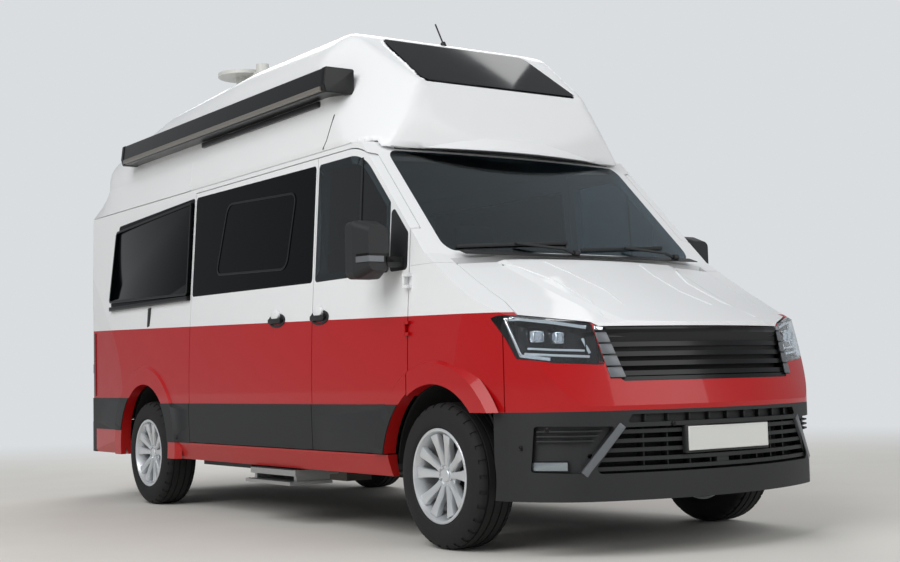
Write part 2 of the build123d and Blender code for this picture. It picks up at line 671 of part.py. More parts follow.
with BuildPart() as wing_right:
    add(shell)
    add(flare_front)
    with BuildPart(mode=Mode.PRIVATE) as wing_room:
        block((DOOR_FRONT + HINGE_GAP, WING_FRONT - 3), RIGHT, (SILL_Z, FRAME_LOW))
        block((WING_FRONT - 10, WING_TIP[0]), RIGHT, (WING_TIP[1], FRAME_LOW))
    add(wing_room.part, mode=Mode.INTERSECT)
    add(arch_cut_f, mode=Mode.SUBTRACT)
    add(bonnet_room.part, mode=Mode.SUBTRACT)
    add(engine_bay.part, mode=Mode.SUBTRACT)
    add(lamp_hole, mode=Mode.SUBTRACT)
    block((AXLE_F, ahead(600)), ACROSS, (0, RED_LOW), mode=Mode.SUBTRACT)
    add(housing_room, mode=Mode.SUBTRACT)
    block((ahead(-250), ahead(600)), (-WING_INNER, WING_INNER), (0, 1600), mode=Mode.SUBTRACT)
    for low in door_hinges:
        for z in ((low, low + KNUCKLE), (low + HINGE_TALL - KNUCKLE, low + HINGE_TALL)):
            upright(HINGE_X, HINGE_Y, z, BARREL)
            block((HINGE_X, DOOR_FRONT + HINGE_GAP + 22), (HINGE_Y - 5, HINGE_Y + 5), z)
            block((DOOR_FRONT + HINGE_GAP + 2, DOOR_FRONT + HINGE_GAP + 22), (HINGE_Y - 5, HINGE_Y + 45), z)
        upright(HINGE_X, HINGE_Y, (low, low + HINGE_TALL), PIN)
wing = wing_right.part.solids().sort_by(SortBy.VOLUME)[-1]
save(wing, "wing_right")
save(mirrored(wing), "wing_left")

with BuildPart() as front_bumper:
    add(shell)
    block((WING_FRONT + 3, FRONT_X + 50), ACROSS, (RED_LOW, WING_TIP[1] - 6), mode=Mode.INTERSECT)
    add(front_prism(GRILLE_OUTLINE, NOSE_X, 18.0), mode=Mode.SUBTRACT)
    add(lamp_hole, mode=Mode.SUBTRACT)
    add(mirrored(lamp_hole), mode=Mode.SUBTRACT)
    add(engine_bay.part, mode=Mode.SUBTRACT)
    add(bonnet_room.part, mode=Mode.SUBTRACT)
    add(arch_cut_f, mode=Mode.SUBTRACT)
save(front_bumper.part.solids().sort_by(SortBy.VOLUME)[-1], "front_bumper")


def nose_layer(near, far, low, high):
    """A curved layer of the nose between two insets and two heights."""
    with BuildPart() as layer:
        add(nose_block(near))
        add(nose_block(far), mode=Mode.SUBTRACT)
        block((AXLE_F, FRONT_X + 50), ACROSS, (low, high), mode=Mode.INTERSECT)
    return layer.part


BUMPER_LOW, BUMPER_WALL = 262.0, 60.0
RECESS = 35.0                             # depth of the fog-lamp recesses and the upper slot
INTAKE_LOW, INTAKE_HIGH = 385.0, 592.0
intake_points = ((-715.0, INTAKE_LOW), (-565.0, INTAKE_HIGH), (565.0, INTAKE_HIGH), (715.0, INTAKE_LOW))
slot_points = ((-556.0, 612.0), (-530.0, 650.0), (530.0, 650.0), (556.0, 612.0))
fog_points = ((-905.0, 395.0), (-895.0, 604.0), (-602.0, 597.0), (-752.0, 388.0))


def nose_solid(inset, low):
    """The bumper's volume, inset all round, from a height up."""
    with BuildPart() as solid:
        with BuildSketch(Plane.XY.offset(low)):
            add(plan_sketch(inset))
        extrude(amount=RED_LOW)
        add(nose_block(inset), mode=Mode.INTERSECT)
    return solid.part


with BuildPart() as recesses:
    fog_recess = front_prism(fog_points, LAMP_X, 12.0)
    add(fog_recess)
    add(mirrored(fog_recess))
    add(front_prism(slot_points, NOSE_X, 10.0))
    add(nose_solid(RECESS, 0.0), mode=Mode.SUBTRACT)
with BuildPart() as lower_bumper:
    add(nose_solid(0.0, BUMPER_LOW))
    add(nose_solid(BUMPER_WALL, BUMPER_LOW + 30), mode=Mode.SUBTRACT)
    add(recesses.part, mode=Mode.SUBTRACT)
    block((ahead(440), FRONT_X + 50), ACROSS, (BUMPER_LOW, RED_LOW), mode=Mode.INTERSECT)
    add(arch_cut_f, mode=Mode.SUBTRACT)
    add(housing_room, mode=Mode.SUBTRACT)
    add(mirrored(housing_room), mode=Mode.SUBTRACT)
    block((ahead(300), ahead(700)), (-760, 760), (0, BUMPER_LOW + 31), mode=Mode.SUBTRACT)
    add(front_prism(intake_points, LAMP_X, 25.0), mode=Mode.SUBTRACT)
save(lower_bumper.part, "lower_bumper")

# Grille: a frame with slats across it, and slats in the bumper's intake
GRILLE_SLATS, INTAKE_SLATS = 5, 5
GRILLE_RIM = 20.0
grille_inner = shrunk(GRILLE_OUTLINE, GRILLE_RIM)
with BuildPart() as grille:
    with BuildPart(mode=Mode.PRIVATE) as frame:
        add(nose_layer(4.0, 44.0, GRILLE_LOW - 20, GRILLE_TOP + 10))
        add(front_prism(GRILLE_OUTLINE, LAMP_X, 18.0), mode=Mode.INTERSECT)
        add(front_prism(grille_inner, LAMP_X), mode=Mode.SUBTRACT)
    add(frame.part)
    for index in range(GRILLE_SLATS):
        z = GRILLE_LOW + (GRILLE_TOP - GRILLE_LOW) * (index + 0.8) / (GRILLE_SLATS + 0.6)
        with BuildPart(mode=Mode.PRIVATE) as slat:
            add(nose_layer(8.0, 34.0, z - 11, z + 11))
            add(front_prism(shrunk(GRILLE_OUTLINE, 4.0), LAMP_X), mode=Mode.INTERSECT)
        add(slat.part)
    block((ahead(700), ahead(850)), (-9, 9), (GRILLE_LOW + 10, GRILLE_TOP - 10))
    add(nose_block(4.0), mode=Mode.INTERSECT)
    add(bonnet_room.part, mode=Mode.SUBTRACT)
save(grille.part, "grille")
with BuildPart() as intake_grille:
    for index in range(INTAKE_SLATS):
        z = INTAKE_LOW + (INTAKE_HIGH - INTAKE_LOW) * (index + 0.5) / INTAKE_SLATS
        with BuildPart(mode=Mode.PRIVATE) as slat:
            add(nose_layer(14.0, 40.0, z - 9, z + 9))
            add(front_prism(intake_points, LAMP_X, 25.0), mode=Mode.INTERSECT)
        add(slat.part)
save(intake_grille.part, "intake_grille")

# Headlamps: a clear lens over a dark housing
with BuildPart() as lens:
    add(glass_layer)
    add(lamp_hole, mode=Mode.INTERSECT)
    add(bonnet_room.part, mode=Mode.SUBTRACT)
with BuildPart() as headlamp_lenses:
    add(lens.part)
    add(mirrored(lens.part))
save(headlamp_lenses.part, "headlamp_lenses")
with BuildPart() as lamp_box:
    add(skin)
    add(inner, mode=Mode.SUBTRACT)
    add(lamp_hole, mode=Mode.INTERSECT)
    add(bonnet_room.part, mode=Mode.SUBTRACT)
with BuildPart() as headlamps:
    add(lamp_box.part)
    add(mirrored(lamp_box.part))
save(headlamps.part, "headlamps")

# Roof cap with the pod over the cab
POD_FRONT = ahead(-600)
ROOF_WALL = 45.0
ROOF_FOOT = TAIL_X + TAIL_LEAN
ROOF_HALF = GUTTER_HALF + 6.0
ROOF_BASE = 800.0                         # foot of the roof's working blocks, well under the gutter
ROOF_FALLS = ((ahead(-2500), 3.0), (ahead(-3400), 10.0))   # where the roof starts to fall rearward, and how steeply
# half plans of the roof's front at two heights: distance behind the pod's front, half-width
POD_PLANS = (
    (2040.0, (55.0, 850.0), (135.0, 918.0), (300.0, 946.0)),
    (3000.0, (20.0, 220.0), (540.0, 570.0), (1135.0, 946.0)),
)
VISOR, VISOR_GAP = 40.0, 14.0             # how far the pod's lip hangs, and its distance from the windscreen


def roof_section(inset):
    """Cross-section of the roof, inset all round."""
    with BuildSketch() as section:
        with BuildLine():
            base = Line((0, ROOF_BASE), (ROOF_HALF - inset, ROOF_BASE))
            foot = Line(base @ 1, (ROOF_HALF - inset, GUTTER_Z))
            side = Line(foot @ 1, (900 - inset, 2420))
            shoulder = ThreePointArc(side @ 1, (846 - inset, 2700 - 0.4 * inset), (640 - 0.4 * inset, 2880 - inset))
            crown = ThreePointArc(shoulder @ 1, (330, 2950 - inset), (0, ROOF_Z - inset))
            Line(crown @ 1, base @ 0)
        make_face()
        mirror(about=Plane.YZ)
    return section.sketch


def roof_plan(inset):
    """The roof's plan carried up: the pod's front corners draw back towards the top."""
    with BuildPart() as column:
        for z, near, bend, far in POD_PLANS:
            with BuildSketch(Plane.XY.offset(z)):
                with BuildLine():
                    front = ThreePointArc(
                        (POD_FRONT - inset, 0),
                        (POD_FRONT - 0.25 * near[0] - inset, near[1] / 2),
                        (POD_FRONT - near[0] - inset, near[1] - 0.4 * inset),
                    )
                    turn = ThreePointArc(
                        front @ 1,
                        (POD_FRONT - bend[0] - 0.7 * inset, bend[1] - 0.7 * inset),
                        (POD_FRONT - far[0] - 0.3 * inset, far[1] - inset),
                    )
                    side = Line(turn @ 1, (behind(REAR_TAPER_BEHIND), ROOF_HALF + 4 - inset))
                    taper = Line(side @ 1, (ROOF_FOOT + 330, 896 - inset))
                    corner = ThreePointArc(
                        taper @ 1,
                        (ROOF_FOOT + 100 + 0.7 * inset, 800 - 0.7 * inset),
                        (ROOF_FOOT + 12 + inset, 620 - 0.5 * inset),
                    )
                    back = Line(corner @ 1, (ROOF_FOOT + inset, 0))
                    Line(back @ 1, front @ 0)
                make_face()
        loft()
        mirror(about=Plane.XZ)
    return column.part


def roof_block(inset, low):
    """The roof's volume, inset all round."""
    with BuildPart() as roof:
        with BuildSketch(Plane.YZ):
            add(roof_section(inset))
        extrude(amount=FAR, both=True)
        for station, fall in ROOF_FALLS:
            slope = radians(fall)
            pivot = (station + ROOF_Z * sin(slope), 0, ROOF_Z * (1 - cos(slope)))
            with BuildSketch(Plane(pivot, x_dir=(0, 1, 0), z_dir=(cos(slope), 0, sin(slope)))):
                add(roof_section(inset))
            extrude(amount=FAR, both=True, mode=Mode.INTERSECT)
        with BuildSketch(Plane.XZ):
            with BuildLine():
                lip = Line((POD_FRONT - inset, low), (POD_FRONT - inset, 2140))
                face = Line(lip @ 1, (POD_FRONT - 40 - inset, 2285))
                brow = Line(face @ 1, (POD_FRONT - 92 - inset, 2492))
                slope = Line(brow @ 1, (ahead(-1190) - 0.6 * inset, 2838 - inset))
                crest = ThreePointArc(slope @ 1, (ahead(-1520), ROOF_Z - 38 - inset), (ahead(-2000), ROOF_Z - inset))
                top = Line(crest @ 1, (ROOF_FOOT + 640, ROOF_Z - inset))
                fall = ThreePointArc(
                    top @ 1,
                    (ROOF_FOOT + 230 + 0.7 * inset, 2740 - 0.7 * inset),
                    (ROOF_FOOT + 40 + inset, 2400 - 0.3 * inset),
                )
                tail = Line(fall @ 1, (ROOF_FOOT + inset, low))
                Line(tail @ 1, lip @ 0)
            make_face()
        extrude(amount=SPREAD, both=True, mode=Mode.INTERSECT)
        add(roof_plan(inset), mode=Mode.INTERSECT)
    return roof.part


roof_outer = roof_block(0.0, GUTTER_Z)
roof_inner = roof_block(ROOF_WALL, GUTTER_Z - 60)
roof_glass_points = (
    (ahead(-704), -549.0), (ahead(-704), 549.0), (ahead(-1178), 520.0), (ahead(-1178), -520.0)
)
roof_glass_prism = plan_prism(roof_glass_points, (2300, 3100), 40.0)
with BuildPart() as visor:
    add(roof_block(0.0, GUTTER_Z - VISOR))
    block((ahead(-760), FRONT_X), ACROSS, (GUTTER_Z - VISOR, GUTTER_Z + 2), mode=Mode.INTERSECT)
    add(cab_block(-VISOR_GAP), mode=Mode.SUBTRACT)
with BuildPart() as roof_cap:
    add(roof_outer)
    add(roof_inner, mode=Mode.SUBTRACT)
    add(roof_glass_prism, mode=Mode.SUBTRACT)
    add(visor.part)
save(roof_cap.part, "roof_cap")
with BuildPart() as roof_window:
    add(roof_outer)
    add(roof_block(8.0, GUTTER_Z - 60), mode=Mode.SUBTRACT)
    add(roof_glass_prism, mode=Mode.INTERSECT)
save(roof_window.part, "roof_window")

# Floor, bulkhead and wheel housings
FLOOR_Z = (396.0, 444.0)
BULKHEAD_AHEAD = -150.0


def housing(x, z, radius, inner_wall, wall_y):
    """A wheel housing on the right: a half drum over the wheel, closed on its inner side."""
    with BuildPart() as drum:
        add(disc(x, z, radius + LINER, (-wall_y, -inner_wall + LINER)))
        add(disc(x, z, radius, (-wall_y - 1, -inner_wall)), mode=Mode.SUBTRACT)
        block((x - 700, x + 700), ACROSS, (FLOOR_Z[0], 1000), mode=Mode.INTERSECT)
    return drum.part


house_f = housing(AXLE_F, AXLE_Z, ARCH_F + 6, HOUSE_F, LINER_Y)
house_r = housing(AXLE_R, AXLE_Z + ARCH_R_UP, ARCH_R + 6, HOUSE_R, LINER_Y)
with BuildPart() as wheel_housings:
    for house in (house_f, house_r):
        add(house)
        add(mirrored(house))
save(wheel_housings.part, "wheel_housings")
with BuildPart() as floor_pan:
    add(inner)
    block((REAR_X, ahead(BULKHEAD_AHEAD)), ACROSS, FLOOR_Z, mode=Mode.INTERSECT)
    with BuildPart(mode=Mode.PRIVATE) as bulkhead:
        add(inner)
        block((ahead(BULKHEAD_AHEAD - 30), ahead(BULKHEAD_AHEAD)), ACROSS, (FLOOR_Z[0], 1395), mode=Mode.INTERSECT)
    add(bulkhead.part)
    add(disc(AXLE_F, AXLE_Z, ARCH_F + 6 + LINER, (-SPREAD, -HOUSE_F + LINER)), mode=Mode.SUBTRACT)
    add(disc(AXLE_F, AXLE_Z, ARCH_F + 6 + LINER, (HOUSE_F - LINER, SPREAD)), mode=Mode.SUBTRACT)
    add(disc(AXLE_R, AXLE_Z + ARCH_R_UP, ARCH_R + 6 + LINER, (-SPREAD, -HOUSE_R + LINER)), mode=Mode.SUBTRACT)
    add(disc(AXLE_R, AXLE_Z + ARCH_R_UP, ARCH_R + 6 + LINER, (HOUSE_R - LINER, SPREAD)), mode=Mode.SUBTRACT)
    for side in (-1, 1):
        block((AXLE_R - 1200, AXLE_F - 300), (side * 430 - 40, side * 430 + 40), (310, FLOOR_Z[0]))
    block((AXLE_R - 160, AXLE_R + 160), ACROSS, (0, FLOOR_Z[0]), mode=Mode.SUBTRACT)
    block((AXLE_F - 300, AXLE_F + 620), (-470, -400), (340, FLOOR_Z[1]))
    block((AXLE_F - 300, AXLE_F + 620), (400, 470), (340, FLOOR_Z[1]))
    for side in (-1, 1):
        for near, far in ((-BONNET_LUG - 19, -BONNET_LUG - 1), (BONNET_LUG + 1, BONNET_LUG + 19)):
            ear = (side * BONNET_HINGE_Y + near, side * BONNET_HINGE_Y + far)
            along_y(BONNET_HINGE_X, ear, BONNET_HINGE_Z, 8.0)
            block((BONNET_HINGE_X - 8, BONNET_HINGE_X + 8), ear, (1340, BONNET_HINGE_Z))
            block((ahead(BULKHEAD_AHEAD), BONNET_HINGE_X + 8), ear, (1340, 1360))
        pin = (side * BONNET_HINGE_Y - BONNET_LUG - 19, side * BONNET_HINGE_Y + BONNET_LUG + 19)
        along_y(BONNET_HINGE_X, pin, BONNET_HINGE_Z, PIN)
save(floor_pan.part, "floor_pan")

# Wheels: a tyre and a rim with five twin spokes, turned about Y and set at each hub
RIM_FACE = 92.0                           # spoke face outboard of the wheel's middle
HUB_RADIUS = 78.0
SPOKES, SPOKE_SPREAD = 5, 11.0            # pairs of spokes, and how far each is turned from its pair's middle
BEAD_HALF, TREAD_HALF = 96.0, 94.0        # half-widths of the tyre at the rim and at the road
RIM_HALF, RIM_WALL = 100.0, 20.0
with BuildPart() as tyre:
    with BuildSketch(Plane.YZ):
        with BuildLine():
            Polyline(
                (-BEAD_HALF, RIM_RADIUS), (BEAD_HALF, RIM_RADIUS), (TYRE_WIDTH / 2, RIM_RADIUS + 58),
                (TREAD_HALF, TYRE_RADIUS), (-TREAD_HALF, TYRE_RADIUS), (-TYRE_WIDTH / 2, RIM_RADIUS + 58),
                close=True,
            )
        make_face()
    revolve(axis=Axis.Y)
with BuildPart() as rim:
    with BuildSketch(Plane.YZ):
        with Locations((0, RIM_RADIUS - RIM_WALL / 2)):
            Rectangle(2 * RIM_HALF, RIM_WALL)
    revolve(axis=Axis.Y)
    with BuildSketch(Plane.XZ.offset(RIM_FACE - 34)):
        Circle(HUB_RADIUS)
    extrude(amount=30)
    for index in range(SPOKES):
        for turn in (-SPOKE_SPREAD, SPOKE_SPREAD):
            angle = 90 + index * 360 / SPOKES + turn
            with BuildSketch(Plane.XZ.offset(RIM_FACE - 30)):
                with Locations(Rotation(0, 0, angle) * Location((HUB_RADIUS / 2 + 82, 0))):
                    Rectangle(RIM_RADIUS - HUB_RADIUS + 36, 26)
            extrude(amount=24)
    with BuildSketch(Plane.XZ.offset(RIM_FACE - 6)):
        Circle(34)
    extrude(amount=8)
    with BuildSketch(Plane.XZ.offset(RIM_FACE - 34)):
        Circle(30)
    extrude(amount=-40)

wheel_places = (
    ("front_right", AXLE_F, -1), ("front_left", AXLE_F, 1), ("rear_right", AXLE_R, -1), ("rear_left", AXLE_R, 1)
)
for place, x, side in wheel_places:
    for piece, source in (("tyre", tyre.part), ("rim", rim.part)):
        with BuildPart() as placed:
            with Locations((x, -WHEEL_Y, AXLE_Z)):
                add(source)
        save(placed.part if side < 0 else mirrored(placed.part), f"{piece}_{place}")

# Running gear
KINGPIN_Y = 790.0
KING_LOW, KING_HIGH = AXLE_Z - 110, AXLE_Z + 110
RIM_HUB_Y = WHEEL_Y + RIM_FACE - 74
with BuildPart() as knuckle_right:
    block((AXLE_F - 45, AXLE_F + 45), (-KINGPIN_Y - 14, -KINGPIN_Y + 26), (KING_LOW + 18, KING_HIGH - 18))
    with BuildSketch(Plane.XZ.offset(KINGPIN_Y)):
        with Locations((AXLE_F, AXLE_Z)):
            Circle(48)
    extrude(amount=RIM_HUB_Y - KINGPIN_Y)
    for z in (KING_LOW, KING_HIGH):
        with Locations((AXLE_F, -KINGPIN_Y, z)):
            Cylinder(16, 40)
save(knuckle_right.part, "knuckle_right")
save(mirrored(knuckle_right.part), "knuckle_left")

with BuildPart() as front_suspension:
    block((AXLE_F - 160, AXLE_F + 160), (-440, 440), (250, 340))
    for side in (-1, 1):
        block((AXLE_F - 35, AXLE_F + 35), sorted((side * 380, side * (KINGPIN_Y - 22))), (KING_LOW - 24, KING_LOW + 4))
        upright(AXLE_F, side * KINGPIN_Y, (KING_LOW - 34, KING_LOW - 20.05), 26.0)
save(front_suspension.part, "front_suspension")

with BuildPart() as rear_axle:
    with BuildSketch(Plane.XZ.offset(-RIM_HUB_Y)):
        with Locations((AXLE_R, AXLE_Z)):
            Circle(34)
    extrude(amount=2 * RIM_HUB_Y)
    for side in (-1, 1):
        block((AXLE_R - 560, AXLE_R + 560), (side * 560 - 35, side * 560 + 35), (AXLE_Z - 60, AXLE_Z - 36))
        block((AXLE_R - 60, AXLE_R + 60), (side * 560 - 40, side * 560 + 40), (AXLE_Z - 40, AXLE_Z + 30))
        for end in (-540, 540):
            block((AXLE_R + end - 20, AXLE_R + end + 20), (side * 560 - 30, side * 560 + 30), (AXLE_Z - 60, FLOOR_Z[0]))
save(rear_axle.part, "rear_axle")

with BuildPart() as engine:
    block((AXLE_F - 40, AXLE_F + 560), (-380, 380), (340, 1010))
    block((AXLE_F + 600, AXLE_F + 660), (-380, 380), (330, 980))
    block((AXLE_F + 540, AXLE_F + 620), (-60, 60), (420, 470))
save(engine.part, "engine")

with BuildPart() as underfloor_tanks:
    block((AXLE_F - 1900, AXLE_F - 700), (480, 880), (300, FLOOR_Z[0]))
    block((AXLE_R + 700, AXLE_R + 1400), (-880, -480), (300, FLOOR_Z[0]))
save(underfloor_tanks.part, "underfloor_tanks")

EXHAUST_Y, EXHAUST_Z = -280.0, 272.0
with BuildPart() as exhaust:
    with BuildSketch(Plane.YZ.offset(AXLE_R + 620)):
        with Locations((EXHAUST_Y, EXHAUST_Z)):
            Circle(30)
    extrude(amount=WHEELBASE - 920)
    block((AXLE_R + 900, AXLE_R + 1700), (EXHAUST_Y - 90, EXHAUST_Y + 90), (EXHAUST_Z - 70, EXHAUST_Z + 80))
    with BuildSketch(Plane.XZ.offset(-940)):
        with Locations((AXLE_R + 650, EXHAUST_Z)):
            Circle(30)
    extrude(amount=940 - EXHAUST_Y)
    for x in (AXLE_R + 800, AXLE_R + 1300, AXLE_F - 500):
        block((x - 15, x + 15), (EXHAUST_Y - 15, EXHAUST_Y + 15), (EXHAUST_Z, FLOOR_Z[0]))
save(exhaust.part, "exhaust")

# Cab fittings
WHEEL_SIDE = -1                           # driver sits on the right
DRIVER_Y = WHEEL_SIDE * 430.0
RING_RADIUS, RING_TUBE = 190.0, 17.0
WHEEL_SEAT = Location((ahead(-730), DRIVER_Y, 1270), (0, 140, 0))   # the wheel's middle, its axis down the column
with BuildPart() as ring:
    with BuildSketch(Plane.XZ):
        with Locations((RING_RADIUS, 0)):
            RegularPolygon(RING_TUBE, 6)
    revolve(axis=Axis.Z)
    Cylinder(60, 30)
    for angle in (30, 150, 270):
        with Locations(Rotation(0, 0, angle)):
            Box(RING_RADIUS, 26, 12, align=(Align.MIN, Align.CENTER, Align.CENTER))
with BuildPart() as column:
    with Locations(WHEEL_SEAT):
        Cylinder(28, 240, align=(Align.CENTER, Align.CENTER, Align.MIN))
with BuildPart() as steering_wheel:
    with Locations(WHEEL_SEAT):
        add(ring.part)
    add(column.part)
save(steering_wheel.part, "steering_wheel")
with BuildPart() as dashboard:
    add(inner)
    block((ahead(-620), ahead(BULKHEAD_AHEAD - 30)), (-880, 880), (820, 1300), mode=Mode.INTERSECT)
    block((ahead(-700), ahead(-470)), ACROSS, (0, 1080), mode=Mode.SUBTRACT)
    add(column.part, mode=Mode.SUBTRACT)
save(dashboard.part, "dashboard")
seat_places = (("seat_right", -430.0), ("seat_left", 430.0))
for name, y in seat_places:
    with BuildPart() as seat:
        block((ahead(-1420), ahead(-960)), (y - 200, y + 200), (FLOOR_Z[1], 800))
        block((ahead(-1440), ahead(-900)), (y - 250, y + 250), (800, 930))
        with Locations(Location((ahead(-1430), y, 870), (0, -12, 0))):
            Box(120, 500, 760, align=(Align.CENTER, Align.CENTER, Align.MIN))
        with Locations(Location((ahead(-1600), y, 1640), (0, -12, 0))):
            Box(90, 260, 190, align=(Align.CENTER, Align.CENTER, Align.MIN))
        with Locations(Location((ahead(-1590), y, 1600), (0, -12, 0))):
            Box(20, 140, 80, align=(Align.CENTER, Align.CENTER, Align.MIN))
    save(seat.part, name)

# Mirrors on the front doors, each on a plate let into the door ahead of its window
MIRROR_Y, MIRROR_Z = -1127.0, 1495.0
# sections of the mirror's head: station ahead of the axle, width, height
MIRROR_SECTIONS = ((-470.0, 172.0, 296.0), (-395.0, 176.0, 300.0), (-282.0, 118.0, 226.0))
with BuildPart() as mirror_right:
    for station, width, tall in MIRROR_SECTIONS:
        with BuildSketch(Plane.YZ.offset(ahead(station))):
            with Locations((MIRROR_Y, MIRROR_Z)):
                RectangleRounded(width, tall, 36)
    loft(ruled=True)
    with BuildPart(mode=Mode.PRIVATE) as arm:
        block((ahead(-345), ahead(-275)), (-1080, -940), (MIRROR_Z - 92, MIRROR_Z - 42))
        add(skin, mode=Mode.SUBTRACT)
    add(arm.part)
    add(mirror_sail)
save(mirror_right.part, "mirror_right")
save(mirrored(mirror_right.part), "mirror_left")

# Outside fittings
AWNING_X = (ahead(-4030), ahead(-1010))
awning_section = ((-820, 2440), (-1000, 2440), (-1012, 2482), (-1000, 2580), (-820, 2580))
with BuildPart() as awning:
    add(front_prism(awning_section, AWNING_X, 8.0))
    add(roof_outer, mode=Mode.SUBTRACT)
    add(roof_inner, mode=Mode.SUBTRACT)
save(awning.part.solids().sort_by(SortBy.VOLUME)[-1], "awning")
with BuildPart() as entry_step:
    block((ahead(-2040), ahead(-1470)), (-985, -700), (289, 324))
    block((ahead(-2060), ahead(-1490)), (-1010, -730), (236, 256))
    for x in (ahead(-2020), ahead(-1520)):
        block((x - 15, x + 15), (-960, -740), (250, 300))
save(entry_step.part, "entry_step")
with BuildPart() as step_rails:
    for x in (ahead(-2000), ahead(-1510)):
        block((x - 25, x + 25), (-900, -490), (324.1, FLOOR_Z[0]))
save(step_rails.part, "step_rails")
DISH_X, DISH_Y, DISH_Z = ahead(-3430), -300.0, 3064.0
DISH_RADIUS = 190.0
with BuildPart() as satellite_dish:
    upright(DISH_X, DISH_Y, (DISH_Z - 12, DISH_Z + 14), DISH_RADIUS)
    upright(DISH_X, DISH_Y, (2700, DISH_Z), 60.0)
    block((DISH_X - 150, DISH_X + 150), (DISH_Y - 120, DISH_Y + 120), (2700, DISH_Z - 130))
    block((DISH_X, DISH_X + 300), (DISH_Y - 20, DISH_Y + 20), (DISH_Z - 40, DISH_Z - 10))
    upright(DISH_X + 290, DISH_Y, (DISH_Z - 40, DISH_Z + 30), 46.0)
    add(roof_outer, mode=Mode.SUBTRACT)
save(satellite_dish.part, "satellite_dish")
with BuildPart() as aerial:
    with Locations(Location((ahead(-1290), 0, 2870), (0, -30, 0))):
        Cylinder(5, 180, align=(Align.CENTER, Align.CENTER, Align.MIN))
        Cylinder(16, 24, align=(Align.CENTER, Align.CENTER, Align.MIN))
    add(roof_outer, mode=Mode.SUBTRACT)
save(aerial.part, "aerial")
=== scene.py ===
"""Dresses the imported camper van: paint, glass, lamps, wheels, cab and fittings, on a plain studio floor."""
import json
import math

import bpy
from mathutils import Matrix, Vector
from mathutils.bvhtree import BVHTree


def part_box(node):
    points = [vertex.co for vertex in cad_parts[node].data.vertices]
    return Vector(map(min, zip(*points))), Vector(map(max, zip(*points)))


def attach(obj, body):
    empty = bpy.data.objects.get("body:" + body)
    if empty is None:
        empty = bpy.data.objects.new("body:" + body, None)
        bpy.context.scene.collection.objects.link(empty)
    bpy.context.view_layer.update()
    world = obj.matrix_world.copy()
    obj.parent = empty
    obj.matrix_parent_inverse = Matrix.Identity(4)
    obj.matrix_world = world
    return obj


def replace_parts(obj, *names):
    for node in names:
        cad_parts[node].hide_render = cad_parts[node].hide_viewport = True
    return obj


bl_info = {
    "name": "Camper van dressing",
    "version": (1, 0, 0),
    "blender": (4, 5, 0),
    "location": "3D View > Sidebar > Van",
    "description": "Paints, glazes and fits out the packed camper van, piece by piece",
    "category": "Object",
}

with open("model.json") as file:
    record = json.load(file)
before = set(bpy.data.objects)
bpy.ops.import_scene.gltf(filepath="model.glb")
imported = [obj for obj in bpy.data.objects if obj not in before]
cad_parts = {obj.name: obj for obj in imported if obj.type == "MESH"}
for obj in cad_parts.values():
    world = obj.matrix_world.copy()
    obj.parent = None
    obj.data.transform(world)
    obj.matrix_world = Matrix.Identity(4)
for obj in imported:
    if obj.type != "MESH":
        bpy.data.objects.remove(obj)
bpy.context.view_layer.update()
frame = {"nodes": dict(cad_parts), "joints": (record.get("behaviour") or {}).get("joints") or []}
NODES = frame["nodes"]
JOINTS = {joint["name"]: joint for joint in frame["joints"]}
FRONT_HUB = Vector(JOINTS["wheel_front_right_spin"]["pos_m"])
REAR_HUB = Vector(JOINTS["wheel_rear_right_spin"]["pos_m"])
AXLE_F, AXLE_R = FRONT_HUB.x, REAR_HUB.x
MM = 0.001
SIDES = (("right", -1), ("left", 1))
AHEAD, ASIDE = 3.4, 1.5
UP, DOWN = (0.0, 0.0, 1.0), (0.0, 0.0, -1.0)
FORWARD, REARWARD = (1.0, 0.0, 0.0), (-1.0, 0.0, 0.0)
SQUARE_ON = 0.95
WELD, SPIN_WELD = 0.00001, 0.00005


# Settings

class VanColours(bpy.types.PropertyGroup):
    """Paint and trim colours, as sRGB hex."""

    white: bpy.props.StringProperty(name="White", description="Upper body and roof paint", default="#E9EAEB")
    red: bpy.props.StringProperty(name="Red", description="Lower body paint", default="#AE0309")
    plastic: bpy.props.StringProperty(name="Plastic", description="Grained black trim", default="#1B1C1E")
    glass: bpy.props.StringProperty(name="Glass", description="Privacy glass", default="#040608")
    silver: bpy.props.StringProperty(name="Silver", description="Wheel lacquer", default="#D3D6D9")


class VanSizes(bpy.types.PropertyGroup):
    """Heights and depths of the trim, in metres."""

    belt: bpy.props.FloatProperty(
        name="Belt line", description="Height of the paint split over the front axle", default=1.143,
        unit="LENGTH",
    )
    belt_rise: bpy.props.FloatProperty(
        name="Belt rise", description="Rise of the paint split for each metre rearward", default=0.0235
    )
    band_low: bpy.props.FloatProperty(
        name="Band bottom", description="Lower edge of the black side band", default=0.446, unit="LENGTH"
    )
    band_high: bpy.props.FloatProperty(
        name="Band top", description="Upper edge of the black side band", default=0.704, unit="LENGTH"
    )
    rear_band_low: bpy.props.FloatProperty(
        name="Rear band bottom", description="Lower edge of the band behind the rear wheel", default=0.511,
        unit="LENGTH",
    )
    rear_band_high: bpy.props.FloatProperty(
        name="Rear band top", description="Upper edge of the band behind the rear wheel", default=0.742,
        unit="LENGTH",
    )
    band_thickness: bpy.props.FloatProperty(
        name="Band thickness", description="How far the side band stands off the panels", default=0.006,
        unit="LENGTH",
    )
    roof_grain: bpy.props.FloatProperty(
        name="Roof grain", description="Mesh size of the moulded roof shell", default=0.021, unit="LENGTH"
    )
    roof_softness: bpy.props.IntProperty(
        name="Roof softness", description="How far the roof's edges are drawn round", default=18
    )
    pad_swell: bpy.props.FloatProperty(
        name="Pad swell", description="Most that a seat pad may bulge", default=0.022, unit="LENGTH"
    )


# Small tools

